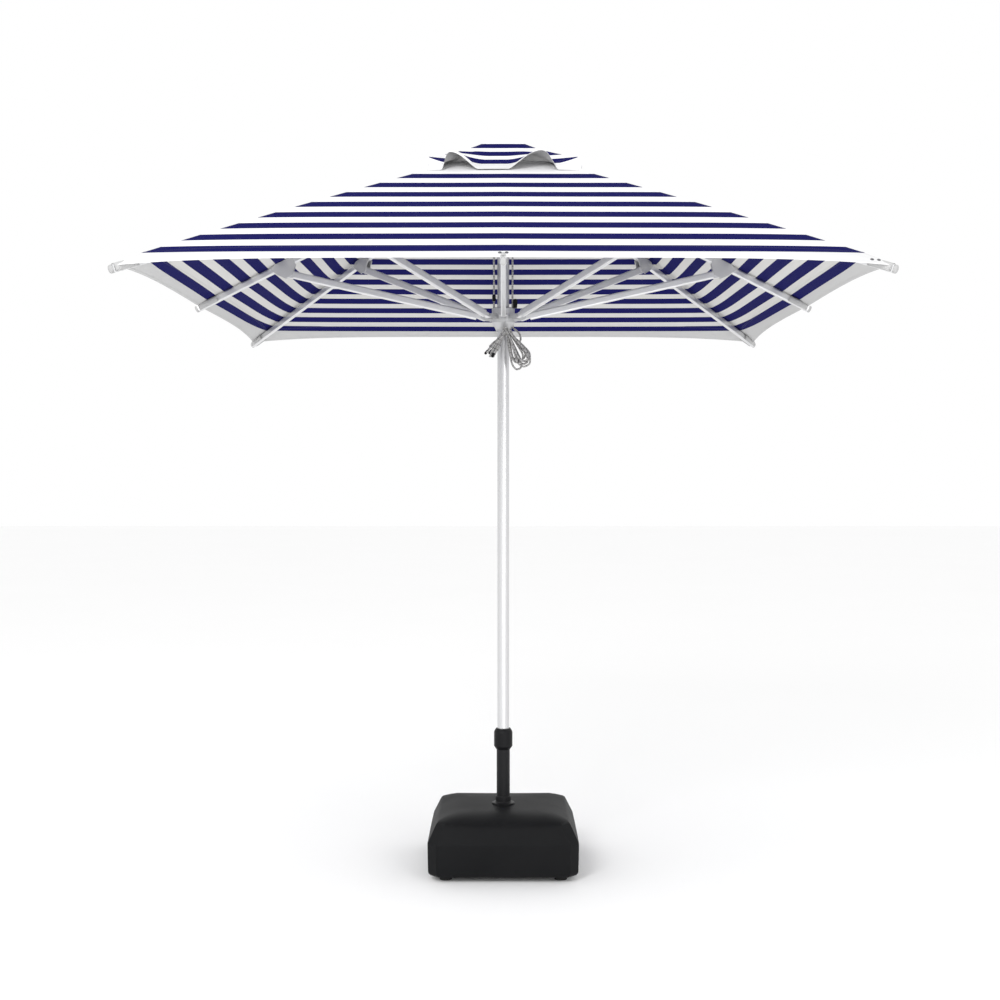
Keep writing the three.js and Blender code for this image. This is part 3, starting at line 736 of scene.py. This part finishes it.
def smooth_path(points: Sequence[Point], per: int = 8) -> list[Point]:
    """A smooth curve through points.

    Args:
        points: The points to pass.
        per: How many steps between two of them.

    Returns:
        The curve's points.
    """
    line = [Vector(p) for p in points]
    line = [2 * line[0] - line[1], *line, 2 * line[-1] - line[-2]]
    out = []
    for i in range(1, len(line) - 2):
        a, b, c, d = line[i - 1 : i + 3]
        for k in range(per):
            t = k / per
            point = 0.5 * (
                2 * b + (c - a) * t + (2 * a - 5 * b + 4 * c - d) * t**2 + (3 * b - a - 3 * c + d) * t**3
            )
            out.append(tuple(point))
    out.append(tuple(line[-2]))
    return out


def path_length(path: Sequence[Point]) -> float:
    """The length of a path."""
    return sum((Vector(b) - Vector(a)).length for a, b in zip(path, path[1:]))


def turned(
    name: str, profile: Sequence[tuple[float, float]], material: bpy.types.Material, sides: int = 24
) -> bpy.types.Object:
    """A closed turned piece about Z.

    Args:
        name: The object's name.
        profile: Radius and height pairs, from the bottom up.
        material: Its material.
        sides: How many sides it has.

    Returns:
        The object, centred on Z.
    """
    points = []
    for r, z in profile:
        for s in range(sides):
            angle = math.tau * s / sides
            points.append((r * math.cos(angle), r * math.sin(angle), z))
    return new_mesh(name, points, ring_faces(len(profile), sides), [material])


def put(obj: bpy.types.Object, matrix: Matrix) -> bpy.types.Object:
    """Moves an object's mesh itself, so that its object stays at the origin."""
    obj.data.transform(matrix)
    return obj


def aimed(at: Vector, along: Vector) -> Matrix:
    """A placing that takes +Z to a direction and the origin to a point."""
    return Matrix.Translation(at) @ along.to_track_quat("Z", "Y").to_matrix().to_4x4()


# ---------------------------------------------------------------------------- canopy
def cloth_point(angle: float, far: float, share: float) -> Vector:
    """A point of the canopy's outer face.

    Args:
        angle: Direction of the side it belongs to.
        far: Distance outwards, square to that side.
        share: Distance along the side over far, from -1 to 1.

    Returns:
        The point.
    """
    t = abs(share)
    reach = far / CANOPY.half
    corner = (CANOPY.mid_hem - CANOPY.corner_hem) * t**5 * reach**2.8
    past = max(0.0, (far - cloth_edge(share)) / CANOPY.hem + 1)
    z = CANOPY.apex - (CANOPY.apex - CANOPY.mid_hem) * reach - corner
    z -= CANOPY.sag * math.sin(math.pi * t) * reach + CANOPY.drop * min(past, 1.0) ** 2
    return radial(angle) * far + tangent(angle) * (share * far) + Vector((0, 0, z))


def cloth_edge(share: float) -> float:
    """How far out the hem is; it curves in between two ribs."""
    return CANOPY.half * (1 - CANOPY.inset * math.sin(math.pi * abs(share)))


@dataclass
class Canopy:
    """The sewn canopy, in pieces that fold with the ribs.

    Attributes:
        top: The outer face's material.
        under: The inner face's material.
        steps: Rows from the vent to the hem.
    """

    top: bpy.types.Material
    under: bpy.types.Material
    steps: int = 22

    def build(self) -> None:
        """Makes all the pieces and ties each to its rib."""
        for arm in range(1, ARMS + 1):
            if arm % 2:
                self.middle(arm)
            else:
                for side in Side:
                    self.flap(arm, side)

    def piece(self, name: str, angle: float, low: float, high: float, columns: int) -> bpy.types.Object:
        """One piece of cloth on one side of the canopy.

        Args:
            name: The piece's name.
            angle: Direction of the side.
            low: Smallest share along the side.
            high: Largest share along the side.
            columns: How many columns of points.

        Returns:
            The piece.
        """
        rows = self.steps + 6
        grid = np.zeros((rows, columns, 3))
        under = np.zeros((rows, columns, 3))
        maps = np.zeros((rows, columns, 2))
        levels = np.zeros((rows, columns))
        slope = (CANOPY.apex - CANOPY.mid_hem) / CANOPY.half
        for j in range(columns):
            share = low + (high - low) * j / (columns - 1)
            edge = cloth_edge(share)
            hem = edge - CANOPY.hem
            panel = np.linspace(CANOPY.vent, hem - 0.001, self.steps + 1)
            outs = [*panel, hem, *np.linspace(hem + 0.001, edge - 0.001, 3), edge]
            for i, out in enumerate(outs):
                top = cloth_point(angle, out, share)
                lift = 0.0007 if out > hem - 0.0005 else 0.0
                roll = 0.0004 if i == rows - 1 else 0.0
                grid[i, j] = top + Vector((0, 0, lift - roll))
                under[i, j] = top - Vector((0, 0, CANOPY.cloth + lift - roll))
                nominal = out + (CANOPY.half - edge) * max(0.0, (out - 0.9 * edge) / (0.1 * edge))
                maps[i, j] = (share * out, nominal)
                levels[i, j] = (CANOPY.apex - top.z) / slope
        return shell(name, grid, under, maps, levels, (self.top, self.under))

    def middle(self, arm: int) -> None:
        """The piece over a mid-side rib."""
        angle = azimuth(arm)
        made = self.piece(f"cloth_middle_{arm}", angle, -SPLIT, SPLIT, 27)
        wide = 2 * SPLIT * CANOPY.half
        deep = self.slant(0.0)
        area = SPLIT * (CANOPY.half**2 - CANOPY.vent**2) * deep / (CANOPY.half - CANOPY.vent)
        self.tie(made, arm, wide, deep, area, tangent(angle), cloth_point(angle, CANOPY.half / 2, 0))

    def flap(self, arm: int, side: Side) -> None:
        """One half of the piece over a corner rib."""
        angle = azimuth(arm - side.value)
        sign = side.value
        low, high = sorted((sign * SPLIT, sign * 1.0))
        made = self.piece(f"cloth_corner_{arm}_{side.name.lower()}", angle, low, high, 21)
        ridge = cloth_point(angle, 1.0, sign) - cloth_point(angle, 0.0, sign)
        middle = cloth_point(angle, 1.0, 0) - cloth_point(angle, 0.0, 0)
        across = ridge.cross(middle).cross(ridge).normalized()
        wide = (1 - SPLIT) * CANOPY.half
        deep = self.slant(1.0)
        area = 0.5 * (1 - SPLIT) * (CANOPY.half**2 - CANOPY.vent**2) * self.slant(0.0)
        area /= CANOPY.half - CANOPY.vent
        self.tie(made, arm, wide, deep, area, across, cloth_point(angle, CANOPY.half / 2, sign))

    @staticmethod
    def slant(share: float) -> float:
        """Length of the cloth from the vent to the hem along a rib."""
        angle = azimuth(1)
        return (cloth_point(angle, CANOPY.half, share) - cloth_point(angle, CANOPY.vent, share)).length

    @staticmethod
    def tie(
        made: bpy.types.Object, arm: int, wide: float, deep: float, area: float, axis: Vector, anchor: Vector
    ) -> None:
        """Ties a piece to its rib, hides the record's gore and logs the piece's size."""
        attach(made, f"rib_unit_{arm}")
        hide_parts(f"canopy_gore_{arm}")
        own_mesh(made)
        log.info("%s: %.2f by %.2f m", made.name, wide, deep)


@dataclass
class VentCap:
    """The small tent over the vent, arched between its ties.

    Attributes:
        top: The outer face's material.
        under: The inner face's material.
    """

    top: bpy.types.Material
    under: bpy.types.Material

    def build(self) -> None:
        """Makes the cap's four sides and its flat top."""
        for arm in (1, 3, 5, 7):
            self.side(arm)

    def point(self, angle: float, out: float, share: float) -> tuple[Vector, float]:
        """A point of the cap and its place in the stripes; out is 0 at the flat top and 1 at the hem."""
        wave, rise = 0.0, 0.0
        for start, crown, end, height in CAP.arches:
            if start < share < end:
                part = (share - start) / (crown - start) if share < crown else (end - share) / (end - crown)
                wave = math.sin(math.pi / 2 * part) ** 1.3
                rise = height * wave * out**3.2
        far = CAP.top_half + (CAP.half - CAP.top_half) * out + CAP.flare * wave * out**3
        hem = CAP.hem - CAP.corner_drop * share * share
        fall = max(0.0, (out - 0.93) / 0.07)
        bulge = CAP.ridge * abs(share) ** 3 * out**1.6 * (1 - fall**2)
        z = CAP.top + (hem - CAP.top) * (out + 0.10 * out * (1 - out)) + bulge + rise
        level = CAP.top_half + (CAP.half - CAP.top_half) * (CAP.top - z) / (CAP.top - hem)
        return radial(angle) * far + tangent(angle) * (share * far) + Vector((0, 0, z)), level

    def side(self, arm: int) -> None:
        """One side of the cap, with its quarter of the flat top."""
        angle = azimuth(arm)
        rows, columns = 34, 81
        grid = np.zeros((rows + 1, columns, 3))
        maps = np.zeros((rows + 1, columns, 2))
        levels = np.zeros((rows + 1, columns))
        for j in range(columns):
            share = -1 + 2 * j / (columns - 1)
            centre = Vector((0, 0, CAP.top))
            inner, _ = self.point(angle, 0.0, share)
            grid[0, j] = centre.lerp(inner, 0.03)
            maps[0, j] = (0, 0)
            for i in range(rows):
                out = (i / (rows - 1)) ** 0.8
                grid[i + 1, j], levels[i + 1, j] = self.point(angle, out, share)
                far = CAP.top_half + (CAP.half - CAP.top_half) * out
                maps[i + 1, j] = (share * far, far)
        under = grid - np.array((0, 0, CANOPY.cloth))
        made = shell(f"vent_cap_side_{arm}", grid, under, maps, levels, (self.top, self.under))
        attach(made, "mast")
        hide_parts("vent_cap")
        slope = math.hypot(CAP.half - CAP.top_half, CAP.top - CAP.hem) + CAP.top_half


# ---------------------------------------------------------------------------- small pieces on the ribs
@dataclass
class RibTip:
    """The nylon cap in a rib's end, its pocket in the hem and the hem's two rivets.

    Attributes:
        plastic: The cap's material.
        cloth: The pocket's material.
        metal: The rivets' material.
    """

    CAP_PROFILE = (
        (0.0115, -0.001), (0.0135, 0.0005), (0.0135, 0.006),
        (0.0125, 0.0085), (0.009, 0.0105), (0.004, 0.0115),
    )
    RIVET_PROFILE = ((0.0060, -0.001), (0.0060, 0.0012), (0.0048, 0.0024), (0.0020, 0.0031))
    POCKET_START = 0.006  # behind the rib's end
    POCKET_LONG = 0.085
    POCKET_HALF = 0.0135
    POCKET_FLARE = 0.004  # wider by this at its open end
    POCKET_DEEP = 0.0165
    POCKET_SEAM = 0.012  # its sewn edges, above the rib's axis

    plastic: bpy.types.Material
    cloth: bpy.types.Material
    metal: bpy.types.Material

    def build(self) -> None:
        """Dresses all eight ribs."""
        for arm in range(1, ARMS + 1):
            self.cap(arm)
            self.rivets(arm)
            self.pocket(arm)

    @staticmethod
    def line(arm: int) -> tuple[Vector, Vector, float]:
        """A rib's end, its direction outwards and its reach."""
        corner = arm % 2 == 0
        reach = CANOPY.half * (math.sqrt(2) if corner else 1)
        hem = CANOPY.corner_hem if corner else CANOPY.mid_hem
        slope = math.atan((CANOPY.apex - hem) / reach)
        below = (CANOPY.cloth + RIB_BELOW) / math.cos(slope)
        end = radial(azimuth(arm)) * reach + Vector((0, 0, hem - below))
        crown = radial(azimuth(arm)) * CROWN_PIVOT_R + Vector((0, 0, CROWN_PIVOT_Z))
        return end, (end - crown).normalized(), reach

    def cap(self, arm: int) -> None:
        """The rounded plug in the rib's end."""
        end, along, _ = self.line(arm)
        made = turned(f"rib_cap_{arm}", self.CAP_PROFILE, self.plastic, 20)
        made.data.transform(Matrix.Diagonal((0.76, 1.06, 1, 1)))
        side = tangent(azimuth(arm))
        up = side.cross(along) * -1
        basis = Matrix((side, up, along)).transposed().to_4x4()
        put(made, Matrix.Translation(end) @ basis)
        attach(made, f"rib_unit_{arm}")

    def rivets(self, arm: int) -> None:
        """The two rivets through the hem at the rib's end."""
        side = azimuth(arm if arm % 2 else arm - 1)
        far = CANOPY.half - RIVET_IN
        for number, shift in enumerate((-RIVET_SHIFT, RIVET_SHIFT)):
            share = shift / far if arm % 2 else 1 - (CORNER_RIVETS_IN - shift) / far
            at = cloth_point(side, far, share)
            across = cloth_point(side, far, share + 0.01) - at
            out = cloth_point(side, far + 0.01, share) - at
            normal = out.cross(across).normalized()
            made = turned(f"hem_rivet_{arm}_{number + 1}", self.RIVET_PROFILE, self.metal, 14)
            put(made, aimed(at + normal * 0.0004, normal))
            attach(made, f"rib_unit_{arm}")

    def pocket(self, arm: int) -> None:
        """The pocket of doubled cloth that takes the rib's end."""
        end, along, _ = self.line(arm)
        side = tangent(azimuth(arm))
        up = along.cross(side) * -1
        points, maps = [], []
        rows, columns = 7, 13
        for i in range(rows):
            part = i / (rows - 1)
            back = self.POCKET_START + self.POCKET_LONG * part
            wide = self.POCKET_HALF + self.POCKET_FLARE * part
            for j in range(columns):
                angle = math.pi * j / (columns - 1)
                w = wide * math.cos(angle)
                n = -self.POCKET_DEEP * math.sin(angle) ** 0.7 if 0 < j < columns - 1 else self.POCKET_SEAM
                points.append(end - along * back + side * w + up * n)
                maps.append((w, CANOPY.half - back))
        faces = row_faces(rows, columns)
        made = new_mesh(f"rib_pocket_{arm}", points, faces, [self.cloth], None, {"cloth": maps}, 60)
        thick = made.modifiers.new("thick", "SOLIDIFY")
        thick.thickness = 0.001
        thick.offset = 1.0
        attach(made, f"rib_unit_{arm}")


# ---------------------------------------------------------------------------- rope
@dataclass
class Rope:
    """The lifting rope: its falls, the turn over the sheave, the tail and the short strands.

    Attributes:
        braid: The rope's material.
        tip: The material of the moulded tips.
    """

    braid: bpy.types.Material
    tip: bpy.types.Material

    def build(self) -> None:
        """Makes every stretch of the rope."""
        self.falls()
        self.top_turn()
        self.tail()

    def falls(self) -> None:
        """The two straight stretches beside the pole, from the runner up to the sheave."""
        for name, x in (("rope_left_fall", -FALL_X), ("rope_right_fall", FALL_X)):
            path = [(x, 0, RUNNER_TOP + 0.0005 + (SHEAVE - RUNNER_TOP - 0.001) * i / 60) for i in range(61)]
            made = tube(f"{name}_braid", path, ROPE_RADIUS, self.braid)
            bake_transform(made)
            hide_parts(name)

    def top_turn(self) -> None:
        """The half turn over the crown sheave."""
        turns = [math.pi * i / 30 for i in range(31)]
        path = [(FALL_X * math.cos(turn), 0, SHEAVE + FALL_X * math.sin(turn)) for turn in turns]
        made = tube("rope_top_turn_braid", path, ROPE_RADIUS, self.braid)
        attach(made, "mast")
        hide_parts("rope_top_turn")

    @staticmethod
    def loop(start: Vector, lean: float, length: float, width: float, depth: float) -> list[Point]:
        """One hanging loop, out from a point and back to it."""
        down = Vector((math.sin(lean), 0, -math.cos(lean)))
        side = Vector((math.cos(lean), 0, math.sin(lean)))
        shape = [*((-w, d) for w, d in HALF_LOOP), (0.0, 1.03), *reversed(HALF_LOOP)]
        out = []
        for i, (w, d) in enumerate(shape):
            y = depth * (i / (len(shape) - 1) - 0.5)
            out.append(tuple(start + side * (w * width) + down * (d * length) + Vector((0, y, 0))))
        return out

    def tail(self) -> None:
        """The free end: out of the runner, round its front, into loops and down to its tip."""
        knot = Vector(KNOT)
        route: list[Point] = list(TAIL_ROUTE)
        for i, lean in enumerate(LOOP_LEANS):
            start = knot + Vector((0.003 * (i % 3), -LOOP_STEP * i, -0.006))
            route += self.loop(start, lean, 0.158 - 0.008 * ((i * 2) % 5), 0.019 + 0.004 * (i % 3), 0.006)
            route.append(tuple(knot + Vector((-0.004, -LOOP_STEP * (i + 0.5), 0.003))))
        route += [
            tuple(knot + Vector((-0.020, -0.040, -0.020))), tuple(knot + Vector((-0.050, -0.038, -0.060))),
            tuple(knot + Vector((-0.078, -0.036, -0.092))),
        ]
        path = smooth_path(route, 7)
        length = path_length(path)
        log.info("rope_tail: %.3f m along its route", length)
        made = tube("rope_tail_braid", path, ROPE_RADIUS, self.braid)
        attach(made, "runner")
        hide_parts("rope_tail", "rope_hank_left", "rope_hank_right")
        end, before = Vector(path[-1]), Vector(path[-6])
        tips = [self.end_tip("rope_tip_main", end, (end - before).normalized())]
        self.tie(knot)

    def tie(self, knot: Vector) -> None:
        """The cord that ties the hank, and the short strands that hang to its left."""
        coil = []
        for i in range(49):
            angle = math.tau * 2.5 * i / 48
            coil.append((
                knot.x + 0.002 + 0.014 * math.cos(angle), knot.y - 0.019 + 0.030 * math.sin(angle),
                knot.z - 0.002 - 0.020 * i / 48,
            ))
        made = tube("rope_hank_tie", coil, STRAND_RADIUS, self.braid)
        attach(made, "runner")
        for number in range(STRANDS):
            reach = 0.092 + 0.006 * ((number * 5) % 7)
            lean = 0.42 + 0.036 * number
            y = -0.006 - 0.0036 * ((number * 4) % STRANDS)
            steps = (
                (0.004 - 0.0012 * number, y, -0.010),
                (-0.30 * reach * math.sin(lean) - 0.006, y - 0.003, -0.36 * reach),
                (-0.80 * reach * math.sin(lean), y - 0.002, -0.84 * reach * math.cos(lean)),
                (-1.02 * reach * math.sin(lean), y, -1.06 * reach * math.cos(lean)),
            )
            path = smooth_path([tuple(knot + Vector(s)) for s in steps], 8)
            strand = tube(f"rope_end_{number + 1}", path, STRAND_RADIUS, self.braid)
            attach(strand, "runner")
            if number in TIPPED_STRANDS:
                end, before = Vector(path[-1]), Vector(path[-5])
                self.end_tip(f"rope_tip_{number + 1}", end, (end - before).normalized())

    def end_tip(self, name: str, at: Vector, along: Vector) -> bpy.types.Object:
        """A moulded tip on an end of rope."""
        profile = [(0.0045, -0.004), (0.0054, -0.002), (0.0054, 0.012), (0.0044, 0.0150), (0.002, 0.0160)]
        made = turned(name, profile, self.tip, 16)
        put(made, aimed(at, along))
        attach(made, "runner")
        return made


# ---------------------------------------------------------------------------- tank
@dataclass
class TankSkin:
    """The moulded tank with its soft edges and its crowned shoulders.

    Attributes:
        material: The tank's material.
    """

    # Half side, corner cut, height, dip and bow of each outline, from the underside to the flat top.
    PROFILE = (
        (0.276, 0.034, 0.0205, 0, 0.0), (0.286, 0.034, 0.0205, 0, 0.0), (0.294, 0.034, 0.030, 0, 0.001),
        (0.2962, 0.034, 0.040, 0, 0.001), (0.298, 0.034, 0.142, 0, 0.001), (0.298, 0.034, 0.1495, 0, 0.001),
        (0.2955, 0.034, 0.1545, 0, 0.001), (0.2695, 0.033, 0.209, 0.006, 0.001),
        (0.2635, 0.032, 0.2205, 0.008, 0.001), (0.2545, 0.031, 0.2275, 0.007, 0.001),
        (0.2240, 0.027, 0.2380, 0.004, 0.0), (0.1900, 0.023, 0.2455, 0.001, 0.0),
        (0.1200, 0.018, 0.2459, 0, 0.0),
    )
    SIDE_POINTS = 12

    material: bpy.types.Material

    def ring(self, half: float, cut: float, z: float, dip: float, bow: float) -> list[Point]:
        """One outline of the tank.

        Args:
            half: Half side.
            cut: Length that each corner loses.
            z: Height at the corners.
            dip: How much lower the middle of a side is.
            bow: How far the middle of a side bulges out.

        Returns:
            The outline's points, anticlockwise.
        """
        out = []
        inner = half - cut
        for turn in range(4):
            angle = turn * math.pi / 2
            for k in range(self.SIDE_POINTS):
                t = -1 + 2 * k / (self.SIDE_POINTS - 1)
                wave = 1 - t * t
                spot = radial(angle) * (half + bow * wave) + tangent(angle) * (t * inner)
                out.append((spot.x, spot.y, z - dip * wave))
        return out

    def build(self) -> None:
        """Makes the skin."""
        rings = [self.ring(*row) for row in self.PROFILE]
        points = [p for ring in rings for p in ring]
        faces = ring_faces(len(rings), len(rings[0]))
        made = new_mesh("tank_skin", points, faces, [self.material], None, None, 24)
        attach(made, "base_unit")
        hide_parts("base_tank")
        log.info("tank_skin: %d faces", len(faces))


# ---------------------------------------------------------------------------- studio
@dataclass(frozen=True)
class Lamp:
    """One soft light.

    Attributes:
        name: Its name.
        at: Where it is.
        to: Where it points.
        size: Its side.
        power: Its power in watts.
    """

    name: str
    at: Point
    to: Point
    size: float
    power: float

    def build(self) -> None:
        """Puts the light in the scene."""
        data = bpy.data.lights.new(self.name, "AREA")
        data.shape = "SQUARE"
        data.size = self.size
        data.energy = self.power
        made = bpy.data.objects.new(self.name, data)
        made.location = self.at
        made.rotation_euler = (Vector(self.to) - Vector(self.at)).to_track_quat("-Z", "Y").to_euler()
        bpy.context.scene.collection.objects.link(made)


class Studio:
    """The pale floor, the soft lights and the camera."""

    LAMPS = (
        Lamp("key", (-3.0, -6.5, 5.5), (0, 0, 1.6), 2.6, 230),
        Lamp("fill", (3.6, -6.0, 2.4), (0, 0, 1.5), 2.0, 60),
        Lamp("low", (0.6, -4.6, 0.6), (0, 0, 2.3), 1.6, 26),
    )
    EYE = (0, -5.675, 1.585)
    LOOK_DOWN = 0.901  # degrees below the horizon
    LENS = 49.75
    SHIFT = -0.00325
    FLOOR_HALF = 40

    def camera(self) -> None:
        """The view from the front, a little below the canopy's hem."""
        data = bpy.data.cameras.new("camera")
        data.lens = self.LENS
        data.sensor_width = 36
        data.shift_x = self.SHIFT
        data.clip_end = 100
        made = bpy.data.objects.new("camera", data)
        made.location = self.EYE
        made.rotation_euler = (math.radians(90 - self.LOOK_DOWN), 0, 0)
        bpy.context.scene.collection.objects.link(made)
        bpy.context.scene.camera = made

    def build(self) -> None:
        """Makes the floor, the world and the lights."""
        for lamp in self.LAMPS:
            lamp.build()
        world = bpy.data.worlds.new("studio")
        world.use_nodes = True
        sky = world.node_tree.nodes["Background"]
        sky.inputs["Color"].default_value = (1, 1, 1, 1)
        sky.inputs["Strength"].default_value = 1.0
        bpy.context.scene.world = world
        bpy.context.scene.view_settings.view_transform = "Standard"
        net = Net("studio_floor")
        cloud = net.noise(net.place(), 0.6, 2)
        pale = net.mix(cloud, (0.955, 0.955, 0.955, 1), (0.97, 0.97, 0.97, 1))
        material = net.surface(Base_Color=pale, Roughness=0.9)
        side = self.FLOOR_HALF
        corners = [(-side, -side, 0), (side, -side, 0), (side, side, 0), (-side, side, 0)]
        floor = new_mesh("floor", corners, [(0, 1, 2, 3)], [material])


# ---------------------------------------------------------------------------- the whole
class Umbrella:
    """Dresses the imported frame."""

    def __init__(self, frame: dict) -> None:
        self.frame = frame
        self.materials = {slot: finish.build() for slot, finish in FINISHES.items()}
        edge = CANOPY.half
        hem = edge - CANOPY.hem
        cap_edge = CAP.half
        cap_hem = cap_edge - CAP_HEM
        cloths = (
            ClothFinish("cloth_top", TOP_STRIPES, WHITE, NAVY, HEM, hem, edge),
            ClothFinish("cloth_under", UNDER_STRIPES, UNDER_LIGHT, NAVY_UNDER, UNDER_HEM, hem, edge),
            ClothFinish("pocket_cloth", NO_STRIPES, POCKET_GREY, NAVY, HEM, NO_HEM, edge),
            ClothFinish("cap_top", CAP_STRIPES, WHITE, NAVY, HEM, cap_hem, cap_edge, CAP_BORDER),
            ClothFinish("cap_under", NO_STRIPES, CAP_SHADE, NAVY, UNDER_HEM, cap_hem, cap_edge),
        )
        self.top, self.under, self.pocket, self.cap_top, self.cap_under = (cloth.build() for cloth in cloths)

    def dress_frame(self) -> None:
        """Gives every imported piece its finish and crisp, smooth shading."""
        for entry in self.frame["record"]["subparts"]:
            made = self.frame["nodes"][entry["node"]]
            slot = entry["material_slot"]
            material = self.under if slot == Slot.CLOTH.value else self.materials[slot]
            made.data.materials.clear()
            made.data.materials.append(material)
            made.data.polygons.foreach_set("use_smooth", np.ones(len(made.data.polygons), bool))
            made.data.set_sharp_from_angle(angle=math.radians(32))
            log.info("%s: %s", entry["node"], slot)

    def build(self) -> None:
        """Makes and dresses everything."""
        Rope(self.materials["rope_braid"], self.materials["black_plastic"]).build()
        self.dress_frame()
        Canopy(self.top, self.under).build()
        VentCap(self.cap_top, self.cap_under).build()
        RibTip(self.materials["cap_white"], self.pocket, self.materials["rivet"]).build()
        TankSkin(self.materials["tank_plastic"]).build()


def main() -> None:
    """Loads the frame, dresses it and lights it."""
    logging.basicConfig(level=logging.INFO, format="%(name)s %(message)s")
    studio = Studio()
    studio.camera()
    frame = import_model()
    Umbrella(frame).build()
    studio.build()


if __name__ == "__main__":
    main()
